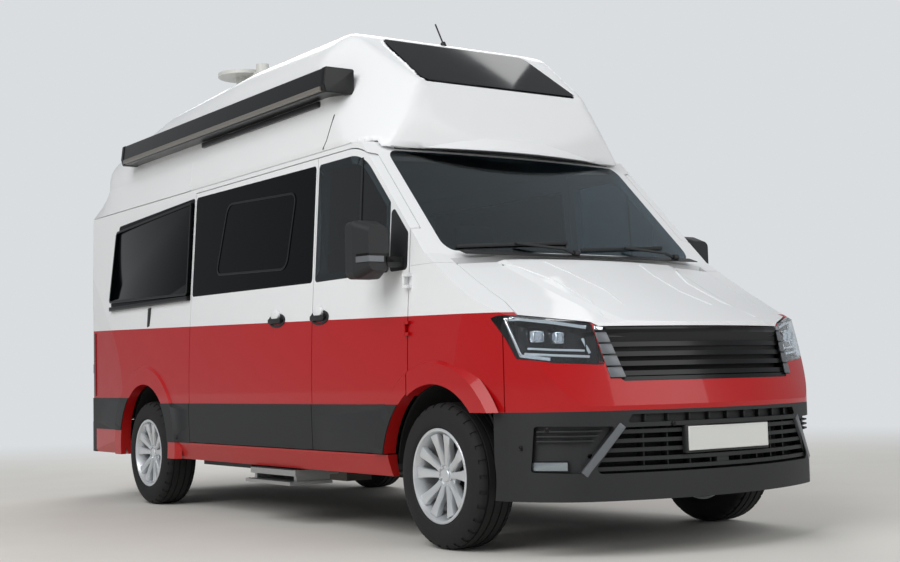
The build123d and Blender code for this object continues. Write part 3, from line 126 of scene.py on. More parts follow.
def hex_rgba(code):
    """Linear colour of an sRGB hex value."""
    channels = [int(code[i:i + 2], 16) / 255 for i in (1, 3, 5)]
    linear = [c / 12.92 if c <= 0.04045 else ((c + 0.055) / 1.055) ** 2.4 for c in channels]
    return (*linear, 1.0)


def node(tree, kind, inputs=None, **settings):
    """Adds a node, sets it, and fills its inputs with values or links."""
    made = tree.nodes.new(kind)
    for name, value in settings.items():
        setattr(made, name, value)
    for socket, value in (inputs or {}).items():
        if isinstance(value, bpy.types.NodeSocket):
            tree.links.new(value, made.inputs[socket])
        else:
            made.inputs[socket].default_value = value
    return made


def new_material(name):
    """An empty node material with its shader and a coordinate node."""
    material = bpy.data.materials.new(name)
    material.use_nodes = True
    tree = material.node_tree
    shader = tree.nodes["Principled BSDF"]
    place = node(tree, "ShaderNodeTexCoord").outputs["Object"]
    return material, tree, shader, place


def dress(name, material):
    """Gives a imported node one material."""
    mesh = NODES[name].data
    mesh.materials.clear()
    mesh.materials.append(material)


def only(piece):
    """Leaves edit mode and selects one piece alone."""
    if bpy.context.mode != "OBJECT":
        bpy.ops.object.mode_set(mode="OBJECT")
    bpy.ops.object.select_all(action="DESELECT")
    if piece:
        piece.select_set(True)
        bpy.context.view_layer.objects.active = piece


def enter(piece, kind="VERT", test=None):
    """Opens a piece for editing, with all of it picked or only what passes a test."""
    only(piece)
    groups = {"VERT": piece.data.vertices, "EDGE": piece.data.edges, "FACE": piece.data.polygons}
    for group in groups.values():
        group.foreach_set("select", [test is None] * len(group))
    if test:
        for item in groups[kind]:
            item.select = bool(test(item))
    bpy.context.tool_settings.mesh_select_mode = tuple(kind == name for name in ("VERT", "EDGE", "FACE"))
    bpy.ops.object.mode_set(mode="EDIT")


def modify(piece, kind, **settings):
    """Adds a modifier, sets it and applies it."""
    only(piece)
    bpy.ops.object.modifier_add(type=kind)
    modifier = piece.modifiers[-1]
    for name, value in settings.items():
        setattr(modifier, name, value)
    bpy.ops.object.modifier_apply(modifier=modifier.name)


def settle(piece):
    """Turns every face outwards and leaves edit mode."""
    enter(piece)
    bpy.ops.mesh.normals_make_consistent(inside=False)
    bpy.ops.object.mode_set(mode="OBJECT")
    return piece


def row(points):
    """A line of vertices drawn one after the other, left open for editing."""
    only(None)
    bpy.ops.mesh.primitive_plane_add(size=0.01, location=points[0])
    piece = bpy.context.active_object
    bpy.ops.object.transform_apply(location=True, rotation=True, scale=True)
    enter(piece)
    bpy.ops.mesh.merge(type="CENTER")
    for start, end in zip(points, points[1:]):
        step = Vector(end) - Vector(start)
        bpy.ops.mesh.extrude_vertices_move(TRANSFORM_OT_translate={"value": step})
    bpy.ops.mesh.select_all(action="SELECT")
    return piece


def rounded(piece, bevel, segments=2):
    """Rounds a piece's sharp edges."""
    modify(piece, "BEVEL", width=bevel, segments=segments, limit_method="ANGLE")
    return piece


def plate(points, depth, bevel=0.003, corner=0.0):
    """A flat outline, its corners rounded, filled and drawn out to a thickness."""
    piece = row(points)
    bpy.ops.mesh.edge_face_add()
    if corner:
        bpy.ops.mesh.bevel(offset=corner, segments=6, affect="VERTICES")
    bpy.ops.mesh.extrude_region_move(TRANSFORM_OT_translate={"value": depth})
    settle(piece)
    return rounded(piece, bevel) if bevel else piece


def ring(points, depth, width, corner, bevel=0.002):
    """A flat frame of one width round an outline."""
    piece = row(points)
    bpy.ops.mesh.edge_face_add()
    bpy.ops.mesh.bevel(offset=corner, segments=6, affect="VERTICES")
    bpy.ops.mesh.select_mode(type="FACE")
    bpy.ops.mesh.select_all(action="SELECT")
    bpy.ops.mesh.inset(thickness=width)
    bpy.ops.mesh.delete(type="FACE")
    bpy.ops.mesh.select_all(action="SELECT")
    bpy.ops.mesh.extrude_region_move(TRANSFORM_OT_translate={"value": depth})
    settle(piece)
    return rounded(piece, bevel)


def spun(section, hub, steps=72):
    """A section of radius and offset pairs, turned about the axle line through a hub."""
    piece = row([hub + Vector((0.0, offset, radius)) for radius, offset in section])
    bpy.ops.mesh.spin(steps=steps, angle=math.tau, center=hub, axis=(0.0, 1.0, 0.0))
    bpy.ops.mesh.select_all(action="SELECT")
    bpy.ops.mesh.remove_doubles(threshold=SPIN_WELD)
    return settle(piece)


def block(low, high, bevel=0.004, segments=2):
    """A box between two corners, with its edges rounded."""
    low, high = Vector(low), Vector(high)
    only(None)
    bpy.ops.mesh.primitive_cube_add(size=1.0, location=(low + high) / 2, scale=high - low)
    piece = bpy.context.active_object
    bpy.ops.object.transform_apply(location=True, rotation=True, scale=True)
    return rounded(piece, bevel, segments)


def bar(points, across, thick):
    """A bar of one section along a line of points."""
    piece = row([Vector(point) for point in points])
    only(piece)
    bpy.ops.object.modifier_add(type="SKIN")
    for vertex in piece.data.skin_vertices[0].data:
        vertex.radius = (across, thick)
    piece.modifiers[-1].use_smooth_shade = False
    bpy.ops.object.modifier_apply(modifier=piece.modifiers[-1].name)
    settle(piece)
    return rounded(piece, min(across, thick) * 0.45)


def copied(piece):
    """A second piece with its own mesh."""
    only(piece)
    bpy.ops.object.duplicate(linked=False)
    return bpy.context.active_object


def mirrored(piece):
    """A copy of a piece on the other side of the van."""
    twin = copied(piece)
    twin.scale.y = -1.0
    bpy.ops.object.transform_apply(location=True, rotation=True, scale=True)
    return settle(twin)


def moved(piece, step):
    """Shifts a piece, in its mesh."""
    only(piece)
    piece.location = step
    bpy.ops.object.transform_apply(location=True, rotation=True, scale=True)
    return piece


def joined(pieces):
    """Several loose pieces as one."""
    only(pieces[0])
    for piece in pieces:
        piece.select_set(True)
    bpy.ops.object.join()
    return pieces[0]


def fitted(piece, name, finish, body="body", angle=35.0):
    """Names a finished piece, gives it its finish and slot, and ties it to its body."""
    only(piece)
    bpy.ops.object.transform_apply(location=True, rotation=True, scale=True)
    bpy.ops.object.shade_smooth_by_angle(angle=math.radians(angle))
    piece.name = name
    piece.data.name = name
    piece.data.materials.clear()
    piece.data.materials.append(FINISHES[finish])
    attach(piece, body)
    return piece


def fitted_pair(piece, name, finish, bodies=("body", "body")):
    """Fits a right-hand piece and its mirror image."""
    twin = mirrored(piece)
    return (
        fitted(piece, name + "_right", finish, bodies[0]),
        fitted(twin, name + "_left", finish, bodies[1]),
    )


TREES = {}


def touch(names, start, ahead):
    """The first point on the named nodes along a line."""
    found = []
    for name in names:
        if name not in TREES:
            mesh = NODES[name].data
            corners = [vertex.co for vertex in mesh.vertices]
            TREES[name] = BVHTree.FromPolygons(corners, [face.vertices for face in mesh.polygons])
        place, _, _, distance = TREES[name].ray_cast(Vector(start), Vector(ahead).normalized())
        if place:
            found.append((distance, place))
    if not found:
        raise RuntimeError("nothing to seat a piece on")
    return min(found, key=lambda hit: hit[0])[1]


def on_front(names, y, z, proud=0.0):
    """The point on the van's front at a place across and a height."""
    return touch(names, (AHEAD, y, z), REARWARD) + Vector((proud, 0.0, 0.0))


def on_right(names, x, z, proud=0.0):
    """The point on the van's right side at a place along and a height."""
    return touch(names, (x, -ASIDE, z), (0.0, 1.0, 0.0)) - Vector((0.0, proud, 0.0))


def along(rel):
    """Distance along the van, from millimetres ahead of the front axle."""
    return AXLE_F + rel * MM


def above(z):
    """A cut that keeps what lies above a height."""
    return (0.0, 0.0, z), UP


def below(z):
    """A cut that keeps what lies below a height."""
    return (0.0, 0.0, z), DOWN


def ahead_of(x):
    """A cut that keeps what lies ahead of a place along the van."""
    return (x, 0.0, 0.0), FORWARD


def behind(x):
    """A cut that keeps what lies behind a place along the van."""
    return (x, 0.0, 0.0), REARWARD


def outside(y, side):
    """A cut that keeps what lies further out than a half width, on one side."""
    return (0.0, side * y, 0.0), (0.0, side, 0.0)


def inside(y, side):
    """A cut that keeps what lies within a half width, on one side."""
    return (0.0, side * y, 0.0), (0.0, -side, 0.0)


def traced(name, mesh):
    """A loose copy of a mesh with its seams welded, left open for editing."""
    piece = bpy.data.objects.new(name, mesh.copy())
    bpy.context.scene.collection.objects.link(piece)
    enter(piece)
    bpy.ops.mesh.remove_doubles(threshold=WELD)
    return piece


def skin(name, cuts, keep, thickness, mesh=None):
    """A panel's own outer skin between cutting planes, thickened outwards."""
    piece = traced(name + "_skin", mesh or NODES[name].data)
    for place, normal in cuts:
        bpy.ops.mesh.select_all(action="SELECT")
        bpy.ops.mesh.bisect(plane_co=place, plane_no=normal, clear_inner=True)
    enter(piece, "FACE", lambda face: not keep(face))
    bpy.ops.mesh.delete(type="FACE")
    bpy.ops.object.mode_set(mode="OBJECT")
    modify(piece, "SOLIDIFY", thickness=thickness, offset=1.0)
    return piece


# Materials

DUST, DUST_FOOT, DUST_TOP = "#9A8E7C", 0.3, 0.85
GLASS_INDEX = 1.45


def noise_scale(size_mm):
    """Noise scale for patches of about this many millimetres."""
    return 1000 / size_mm / 3


def grain(tree, place, shader, size_mm, depth_mm, strength=1.0):
    """Fine moulded grain of a real size, as bump."""
    pattern = node(
        tree, "ShaderNodeTexNoise", {"Vector": place, "Scale": noise_scale(size_mm), "Detail": 3.0}
    )
    bump = node(
        tree, "ShaderNodeBump",
        {"Height": pattern.outputs["Fac"], "Strength": strength, "Distance": depth_mm * MM},
    )
    tree.links.new(bump.outputs["Normal"], shader.inputs["Normal"])
    return pattern.outputs["Fac"]


def body_paint(name, colours, sizes, split=True, top=None):
    """Sprayed two-layer paint: a colour coat under clear lacquer, with road dust towards the sills."""
    material, tree, shader, place = new_material(name)
    axes = node(tree, "ShaderNodeSeparateXYZ", {"Vector": place})
    if split:
        white, red = hex_rgba(colours.white), hex_rgba(colours.red)
        rise = node(
            tree, "ShaderNodeMath", {0: axes.outputs["X"], 1: sizes.belt_rise, 2: axes.outputs["Z"]},
            operation="MULTIPLY_ADD",
        )
        line = node(
            tree, "ShaderNodeMath", {0: rise.outputs[0], 1: sizes.belt + sizes.belt_rise * AXLE_F},
            operation="GREATER_THAN",
        )
        coat = node(
            tree, "ShaderNodeMix", {"Factor": line.outputs[0], "A": red, "B": white}, data_type="RGBA"
        ).outputs["Result"]
    else:
        coat = top
    haze = node(tree, "ShaderNodeTexNoise", {"Vector": place, "Scale": 6.0, "Detail": 6.0})
    low = node(
        tree, "ShaderNodeMapRange",
        {
            "Value": axes.outputs["Z"], "From Min": DUST_FOOT, "From Max": DUST_TOP,
            "To Min": 0.10, "To Max": 0.0,
        },
    )
    dust = node(
        tree, "ShaderNodeMath", {0: low.outputs[0], 1: haze.outputs["Fac"]},
        operation="MULTIPLY", use_clamp=True,
    )
    colour = node(
        tree, "ShaderNodeMix", {"Factor": dust.outputs[0], "A": coat, "B": hex_rgba(DUST)},
        data_type="RGBA",
    )
    rough = node(
        tree, "ShaderNodeMapRange", {"Value": haze.outputs["Fac"], "To Min": 0.30, "To Max": 0.42}
    )
    tree.links.new(colour.outputs["Result"], shader.inputs["Base Color"])
    tree.links.new(rough.outputs[0], shader.inputs["Roughness"])
    shader.inputs["Specular IOR Level"].default_value = 0.25
    shader.inputs["Coat Weight"].default_value = 0.3
    shader.inputs["Coat Roughness"].default_value = 0.04
    peel = node(tree, "ShaderNodeTexNoise", {"Vector": place, "Scale": 180.0, "Detail": 1.0})
    bump = node(
        tree, "ShaderNodeBump", {"Height": peel.outputs["Fac"], "Strength": 0.12, "Distance": 0.0004}
    )
    tree.links.new(bump.outputs["Normal"], shader.inputs["Normal"])
    return material


def moulded_plastic(name, code, rough=0.55, size_mm=2.2, depth_mm=0.25):
    """Grained plastic, rubber, cloth or coated metal: even colour, a fine grain, a soft sheen."""
    material, tree, shader, place = new_material(name)
    fleck = grain(tree, place, shader, size_mm, depth_mm, 0.5)
    shade = node(tree, "ShaderNodeMapRange", {"Value": fleck, "To Min": 0.82, "To Max": 1.15})
    colour = node(
        tree, "ShaderNodeMix", {"Factor": 1.0, "A": hex_rgba(code), "B": shade.outputs[0]},
        data_type="RGBA", blend_type="MULTIPLY",
    )
    tree.links.new(colour.outputs["Result"], shader.inputs["Base Color"])
    shader.inputs["Roughness"].default_value = rough
    return material


def lacquered(name, code, rough, metallic=0.0, coat=0.6, gloss=0.5, fleck_mm=1.2):
    """Lacquered, plated or anodised surface: a fine flake in the colour and a smooth, bright sheen."""
    material, tree, shader, place = new_material(name)
    flake = node(
        tree, "ShaderNodeTexNoise", {"Vector": place, "Scale": noise_scale(fleck_mm), "Detail": 2.0}
    )
    shade = node(tree, "ShaderNodeMapRange", {"Value": flake.outputs["Fac"], "To Min": 0.9, "To Max": 1.08})
    colour = node(
        tree, "ShaderNodeMix", {"Factor": 1.0, "A": hex_rgba(code), "B": shade.outputs[0]},
        data_type="RGBA", blend_type="MULTIPLY",
    )
    tree.links.new(colour.outputs["Result"], shader.inputs["Base Color"])
    shader.inputs["Metallic"].default_value = metallic
    shader.inputs["Specular IOR Level"].default_value = gloss
    shader.inputs["Roughness"].default_value = rough
    shader.inputs["Coat Weight"].default_value = coat
    shader.inputs["Coat Roughness"].default_value = 0.05
    return material


def privacy_glass(name, code):
    """Dark glass tinted in the mass, nearly black: it shows faint reflections and little else."""
    material, tree, shader, place = new_material(name)
    film = node(tree, "ShaderNodeTexNoise", {"Vector": place, "Scale": 3.0, "Detail": 4.0})
    rough = node(tree, "ShaderNodeMapRange", {"Value": film.outputs["Fac"], "To Min": 0.02, "To Max": 0.07})
    tree.links.new(rough.outputs[0], shader.inputs["Roughness"])
    shader.inputs["Base Color"].default_value = hex_rgba(code)
    shader.inputs["IOR"].default_value = GLASS_INDEX
    shader.inputs["Specular IOR Level"].default_value = 0.09
    return material


def clear_glass(name, code, rough=0.0):
    """Clear laminated glass with a light tint in its thickness."""
    material, tree, shader, place = new_material(name)
    film = node(tree, "ShaderNodeTexNoise", {"Vector": place, "Scale": 2.0, "Detail": 3.0})
    wipe = node(
        tree, "ShaderNodeMapRange",
        {"Value": film.outputs["Fac"], "To Min": rough, "To Max": rough + 0.02},
    )
    tree.links.new(wipe.outputs[0], shader.inputs["Roughness"])
    shader.inputs["Base Color"].default_value = hex_rgba(code)
    shader.inputs["Transmission Weight"].default_value = 1.0
    shader.inputs["IOR"].default_value = GLASS_INDEX
    return material


def build_materials(context):
    """Every finish on the van, by plain name."""
    colours, sizes = context.scene.van_colours, context.scene.van_sizes
    return {
        "two_tone": body_paint("two_tone_body_paint", colours, sizes),
        "white": body_paint("white_body_paint", colours, sizes, False, hex_rgba(colours.white)),
        "red": body_paint("red_body_paint", colours, sizes, False, hex_rgba(colours.red)),
        "plastic": moulded_plastic("grained_polypropylene", colours.plastic),
        "gloss": lacquered("gloss_black_abs", "#09090A", 0.28, 0.0, 0.05, 0.25),
        "glass": privacy_glass("privacy_glass", colours.glass),
        "screen": clear_glass("laminated_screen_glass", "#8FA4AE"),
        "side_glass": clear_glass("tinted_door_glass", "#3C4A50"),
        "lens": clear_glass("polycarbonate_lens", "#EEF3F7"),
        "rubber": moulded_plastic("tyre_rubber", "#151516", 0.8, 3.0, 0.3),
        "silver": lacquered("silver_wheel_lacquer", colours.silver, 0.34, 0.55),
        "steel": moulded_plastic("black_coated_steel", "#1B1C1D", 0.5, 4.0, 0.2),
        "cast": moulded_plastic("cast_alloy", "#6A6B6C", 0.6, 3.0, 0.4),
        "exhaust": lacquered("dull_exhaust_steel", "#6E6862", 0.5, 0.9, 0.0),
        "fabric": moulded_plastic("seat_cloth", "#26272A", 0.9, 3.0, 0.6),
        "anodised": lacquered("black_anodised_aluminium", "#1A1A1C", 0.38, 0.4, 0.2),
        "aluminium": lacquered("satin_aluminium", "#B4B5B5", 0.38, 0.9, 0.0),
        "dish": moulded_plastic("pale_dish_plastic", "#CFCFCA", 0.4, 2.0, 0.1),
        "red_lens": lacquered("red_lamp_lens", "#5A0507", 0.12),
        "chrome": lacquered("plated_lamp_trim", "#D8DCE0", 0.12, 1.0, 0.0),
        "satin": lacquered("satin_grey_trim", "#6A6D71", 0.42, 0.3, 0.1),
        "fog": lacquered("fog_lamp_reflector", "#8E979D", 0.2, 0.6),
        "strip": lacquered("white_light_guide", "#E8EEF2", 0.2),
        "plate": lacquered("blank_plate_sheet", "#D9DAD6", 0.35, 0.0, 0.2),
        "mirror": lacquered("silvered_mirror_glass", "#C9D0D6", 0.03, 1.0, 0.0),
        "rail": lacquered("beige_anodised_rail", "#8C8780", 0.4, 0.6, 0.0),
        "tar": moulded_plastic("underseal", "#161616", 0.85, 6.0, 0.8),
    }


FINISHES = {}
NODE_FINISH = {
    "two_tone": (
        "door_left", "door_right", "sliding_door", "side_wall_left", "side_wall_right", "rear_door_left",
        "rear_door_right", "wing_left", "wing_right",
    ),
    "white": ("bonnet", "cab_frame", "roof_cap"),
    "red": ("front_bumper",),
    "plastic": (
        "lower_bumper", "intake_grille", "rear_bumper", "mirror_left", "mirror_right", "dashboard",
        "steering_wheel",
    ),
    "gloss": ("grille", "headlamps"),
    "glass": ("side_windows", "sliding_door_glass", "rear_glass_left", "rear_glass_right", "roof_window"),
    "screen": ("windscreen",),
    "side_glass": ("door_glass_left", "door_glass_right"),
    "lens": ("headlamp_lenses",),
    "red_lens": ("tail_lamps",),
    "steel": (
        "floor_pan", "front_suspension", "rear_axle", "knuckle_left", "knuckle_right", "step_rails",
        "underfloor_tanks", "aerial",
    ),
    "cast": ("engine",),
    "exhaust": ("exhaust",),
    "fabric": ("seat_left", "seat_right"),
    "anodised": ("awning",),
    "aluminium": ("entry_step",),
    "dish": ("satellite_dish",),
    "tar": ("wheel_housings",),
}


class VAN_OT_finishes(bpy.types.Operator):
    """Give every packed panel its paint, plastic, metal or glass"""

    bl_idname = "van.finishes"
    bl_label = "Finishes"

    def execute(self, context):
        FINISHES.update(build_materials(context))
        for finish, names in NODE_FINISH.items():
            for name in names:
                dress(name, FINISHES[finish])
        for name in NODES:
            if name.startswith("tyre_"):
                dress(name, FINISHES["rubber"])
            elif name.startswith("rim_"):
                dress(name, FINISHES["silver"])
        return {"FINISHED"}


# Side band

ARCH_REACH, BODY_SIDE = 0.50, 0.9
FACES_OUT, FACES_WHEEL = 0.3, 0.2
BAND_CREASE = 25.0


def band_face(side, lipped):
    """A test for a panel's outer faces on one side, with the arch's lip where the panel has one."""

    def outer_face(face):
        arm = face.center - FRONT_HUB
        lip = lipped and math.hypot(arm.x, arm.z) < ARCH_REACH and face.normal.x > FACES_WHEEL
        return abs(face.center.y) > BODY_SIDE and (face.normal.y * side > FACES_OUT or lip)

    return outer_face


class VAN_OT_side_band(bpy.types.Operator):
    """Cover the lower doors and walls with the grained black band"""

    bl_idname = "van.side_band"
    bl_label = "Side band"

    def execute(self, context):
        sizes = context.scene.van_sizes
        front = [above(sizes.band_low), below(sizes.band_high)]
        rear = [above(sizes.rear_band_low), below(sizes.rear_band_high)]
        for hand, side in SIDES:
            door, wall = "door_" + hand, "side_wall_" + hand
            bands = [
                (door, front, door, "door"),
                (wall, front + [ahead_of(AXLE_R)], "body", "sill"),
                (wall, rear + [behind(AXLE_R)], "body", "quarter"),
            ]
            if hand == "right":
                bands.append(("sliding_door", front, "body", "sliding_door"))
            for panel, cuts, body, label in bands:
                piece = skin(panel, cuts, band_face(side, label == "sill"), sizes.band_thickness)
                fitted(piece, f"side_band_{label}_{hand}", "plastic", body, BAND_CREASE)
        return {"FINISHED"}


# Wheels: each section lists radius and offset from the hub

TYRE_SECTION = (
    (0.2175, -0.090), (0.2320, -0.0985), (0.2365, -0.1060), (0.2450, -0.1120), (0.2490, -0.1125),
    (0.2500, -0.1140), (0.2680, -0.1165), (0.2950, -0.1160), (0.3180, -0.1100), (0.3340, -0.1030),
    (0.3450, -0.0940), (0.3515, -0.0840), (0.3545, -0.0700), (0.3480, -0.0690), (0.3480, -0.0600),
    (0.3562, -0.0590), (0.3568, -0.0280), (0.3495, -0.0270), (0.3495, -0.0180), (0.3570, -0.0170),
)
BEAD = (0.2165, 0.0850)
TYRE_STEPS, STEP_ROUNDING = 120, 0.001
SLOT_INSIDE, SLOT_EDGE, SLOT_PITCH, SLOT_DEPTH = 0.337, 0.0705, 4, 0.005
RIM_SECTION = (
    (0.2290, -0.1100), (0.2330, -0.1075), (0.2330, -0.1040), (0.2190, -0.0990), (0.2165, -0.0900),
    (0.2165, 0.0900), (0.2190, 0.0960), (0.2320, 0.0970), (0.2320, 0.0990), (0.2260, 0.0995),
    (0.2100, 0.0930), (0.1960, 0.0600), (0.1930, -0.0300), (0.2020, -0.0720), (0.2130, -0.0980),
    (0.2190, -0.1090), (0.2290, -0.1100),
)
HUB_SECTION = (
    (0.0, -0.0720), (0.0280, -0.0720), (0.0310, -0.0690), (0.0320, -0.0640), (0.0620, -0.0640),
    (0.0720, -0.0580), (0.0760, -0.0300), (0.0, -0.0300),
)
DISC_SECTION = (
    (0.0, 0.0), (0.0700, 0.0), (0.0720, 0.0300), (0.1560, 0.0300), (0.1560, 0.0560), (0.0, 0.0560),
)
HUB_STEPS = 48
SPOKE_PLAN = (
    (0.0500, -0.0160), (0.1000, -0.0180), (0.1550, -0.0225), (0.2070, -0.0300), (0.2070, 0.0300),
    (0.1550, 0.0225), (0.1000, 0.0180), (0.0500, 0.0160),
)
SPOKE_PAIRS, SPOKE_SPREAD = 5, math.radians(15.5)
SPOKE_FACE, SPOKE_DEPTH, SPOKE_SOFT = -0.074, 0.034, 0.006
SPOKE_BENDS = ((0.13, 0.016), (0.19, 0.010))
BOLTS, BOLT_RING, BOLT_FACE = 5, 0.0465, -0.0665
BOLT_RADIUS, BOLT_LENGTH, BOLT_SOFT = 0.0085, 0.014, 0.0015
WHEEL_CREASE = 30.0


def tyre_tread(hub):
    """A tyre with four road grooves and slots round both shoulders."""
    half = list(TYRE_SECTION)
    section = half + [(radius, -offset) for radius, offset in reversed(half)]
    section += [(BEAD[0], BEAD[1]), (BEAD[0], -BEAD[1]), half[0]]
    tyre = spun(section, hub, TYRE_STEPS)

    def slot_face(face):
        arm = face.center - hub
        share = (math.atan2(arm.z, arm.x) + math.pi) / math.tau
        turn = int(share * TYRE_STEPS + STEP_ROUNDING)
        on_shoulder = math.hypot(arm.x, arm.z) > SLOT_INSIDE and abs(arm.y) > SLOT_EDGE
        return on_shoulder and turn % SLOT_PITCH == 0

    enter(tyre, "FACE", slot_face)
    bpy.ops.mesh.extrude_region_shrink_fatten(TRANSFORM_OT_shrink_fatten={"value": -SLOT_DEPTH})
    bpy.ops.object.mode_set(mode="OBJECT")
    return tyre


def wheel_spoke(hub):
    """One dished spoke of a pair, pointing up."""
    points = [hub + Vector((across, SPOKE_FACE, radius)) for radius, across in SPOKE_PLAN]
    spoke = plate(points, (0.0, SPOKE_DEPTH, 0.0), 0.0)
    for reach, dish in SPOKE_BENDS:
        enter(spoke, "VERT", lambda vertex: vertex.co.z - hub.z > reach)
        bpy.ops.transform.translate(value=(0.0, -dish, 0.0))
    return rounded(spoke, SPOKE_SOFT, 2)


def turned(piece, hub, angle):
    """A copy of a piece turned about the axle line."""
    twin = copied(piece)
    spin = Matrix.Rotation(angle, 4, "Y")
    twin.matrix_world = Matrix.Translation(hub) @ spin @ Matrix.Translation(-hub)
    bpy.ops.object.transform_apply(location=True, rotation=True, scale=True)
    return twin


def wheel_bolt(hub):
    """One six-sided bolt head above the hub."""
    only(None)
    bpy.ops.mesh.primitive_cylinder_add(
        vertices=6, radius=BOLT_RADIUS, depth=BOLT_LENGTH,
        location=hub + Vector((0.0, BOLT_FACE, BOLT_RING)), rotation=(math.pi / 2, 0.0, 0.0),
    )
    bolt = bpy.context.active_object
    bpy.ops.object.transform_apply(location=True, rotation=True, scale=True)
    return rounded(bolt, BOLT_SOFT, 2)


def alloy_wheel(hub):
    """A silver wheel of five twin spokes with five bolts and a plain cap."""
    parts = [spun(RIM_SECTION, hub), spun(HUB_SECTION, hub, HUB_STEPS)]
    spoke = wheel_spoke(hub)
    for pair in range(SPOKE_PAIRS):
        for lean in (-SPOKE_SPREAD, SPOKE_SPREAD):
            parts.append(turned(spoke, hub, math.tau * pair / SPOKE_PAIRS + lean))
    bolt = wheel_bolt(hub)
    for turn in range(BOLTS):
        parts.append(turned(bolt, hub, math.tau * (turn + 0.5) / BOLTS))
    for spare in (spoke, bolt):
        bpy.data.objects.remove(spare)
    return joined(parts)


class VAN_OT_wheels(bpy.types.Operator):
    """Model one wheel with its tyre and brake disc, and copy it to the four hubs"""

    bl_idname = "van.wheels"
    bl_label = "Wheels"

    def execute(self, context):
        masters = {
            "tyre": (tyre_tread(FRONT_HUB), "rubber"),
            "rim": (alloy_wheel(FRONT_HUB), "silver"),
            "brake_disc": (spun(DISC_SECTION, FRONT_HUB, HUB_STEPS), "steel"),
        }
        for corner in ("front_right", "front_left", "rear_right", "rear_left"):
            hub = Vector(JOINTS[f"wheel_{corner}_spin"]["pos_m"])
            half_turn = Matrix.Rotation(math.pi if corner.endswith("left") else 0.0, 4, "Z")
            place = Matrix.Translation(hub) @ half_turn @ Matrix.Translation(-FRONT_HUB)
            for kind, (master, finish) in masters.items():
                piece = copied(master)
                piece.matrix_world = place
                fitted(piece, f"{kind}_dressed_{corner}", finish, f"wheel_{corner}", WHEEL_CREASE)
                if kind != "brake_disc":
                    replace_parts(piece, f"{kind}_{corner}")
        for master, _ in masters.values():
            bpy.data.objects.remove(master)
        return {"FINISHED"}


# Headlamps: lines list places across and heights

LENS = ("headlamp_lenses",)
BOWL_OPENS, BOWL_WALL = 0.3, 0.002
MODULES = (("outer", -0.838, 1.012, 0.034), ("inner", -0.752, 1.004, 0.028))
MODULE_SETBACK, MODULE_DEPTH, MODULE_HALF_HEIGHT = 0.030, 0.060, 0.027
MODULE_SOFT, MODULE_MIDDLE = 0.003, 0.004
BEZEL_STEPS = ((0.006, -0.008), (0.006, 0.006))
GUIDE_SETBACK = 0.024
GUIDES = (
    ("low", ((-0.905, 0.934), (-0.80, 0.924), (-0.70, 0.918), (-0.650, 0.915)), 0.006),
    ("high", ((-0.895, 0.958), (-0.80, 0.950), (-0.70, 0.945), (-0.665, 0.943)), 0.005),
    ("end", ((-0.662, 1.000), (-0.645, 0.930)), 0.006),
)
RIM_LINE = (
    (-0.640, 1.050), (-0.78, 1.076), (-0.90, 1.094), (-0.945, 1.096), (-0.915, 0.925), (-0.82, 0.905),
)
RIM_SETBACK, RIM_HALF = 0.016, 0.008


def lamp_line(points, depth):
    """Points a little way behind the lens."""
    return [on_front(LENS, y, z, -depth) for y, z in points]


def led_module(y, z, half_width):
    """A square projector in a stepped bezel."""
    face = on_front(LENS, y, z, -MODULE_SETBACK)
    low = face + Vector((-MODULE_DEPTH, -half_width, -MODULE_HALF_HEIGHT))
    high = face + Vector((0.0, half_width, MODULE_HALF_HEIGHT))
    module = block(low, high, MODULE_SOFT)
    for width, step in BEZEL_STEPS:
        enter(
            module, "FACE",
            lambda item: item.normal.x > SQUARE_ON and abs(item.center.y - y) < MODULE_MIDDLE,
        )
        bpy.ops.mesh.inset(thickness=width)
        bpy.ops.mesh.extrude_region_move(TRANSFORM_OT_translate={"value": (step, 0.0, 0.0)})
        bpy.ops.object.mode_set(mode="OBJECT")
    return module


class VAN_OT_headlamps(bpy.types.Operator):
    """Open the lamp housings and fit projectors, light guides and a bright rim"""

    bl_idname = "van.headlamps"
    bl_label = "Headlamps"

    def execute(self, context):
        bowls = skin("headlamps", (), lambda face: face.normal.x < BOWL_OPENS, BOWL_WALL)
        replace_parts(fitted(bowls, "headlamp_bowls", "gloss"), "headlamps")
        for label, y, z, half in MODULES:
            fitted_pair(led_module(y, z, half), f"led_module_{label}", "chrome")
        for label, points, half in GUIDES:
            guide = bar(lamp_line(points, GUIDE_SETBACK), half, half)
            fitted_pair(guide, f"light_guide_{label}", "strip")
        fitted_pair(bar(lamp_line(RIM_LINE, RIM_SETBACK), RIM_HALF, RIM_HALF), "lamp_rim", "chrome")
        return {"FINISHED"}


# Grille

BUMPER = ("lower_bumper",)
INTAKE_SILL = 0.375
FRONT = ("grille", "front_bumper", "bonnet")
FASCIA = ("front_bumper", "grille", "headlamp_lenses")
ACROSS = (-0.575, -0.44, -0.30, -0.15, 0.0, 0.15, 0.30, 0.44, 0.575)
GRILLE_LOW, GRILLE_HIGH, GRILLE_HALF, GRILLE_SPREAD = 0.800, 1.050, 0.545, 0.047
LAMP_LOW, LAMP_RISE, LAMP_HALF, LAMP_SPREAD = 0.875, 0.195, 0.602, 0.018
TOP_BAR_HEIGHT, TOP_BAR_PROUD = 1.036, 0.002
COLUMN_FOOT, COLUMN_HEAD, COLUMN_SLATS = 0.818, 1.034, 4
COLUMN_LAP, COLUMN_INSET = Vector((0.014, 0.028, 0.0)), 0.008
SLAT_GAP, SLAT_PROUD, SLAT_DEPTH = 0.007, 0.006, 0.016
BACK_FOOT, BACK_HEAD, BACK_PROUD, BACK_DEPTH = 0.814, 1.038, 0.003, 0.012
CAP_OUTLINE = ((-0.616, 1.038), (-0.612, 1.058), (-0.560, 1.050), (-0.566, 1.036))
CAP_PROUD, CAP_DEPTH = 0.005, 0.014
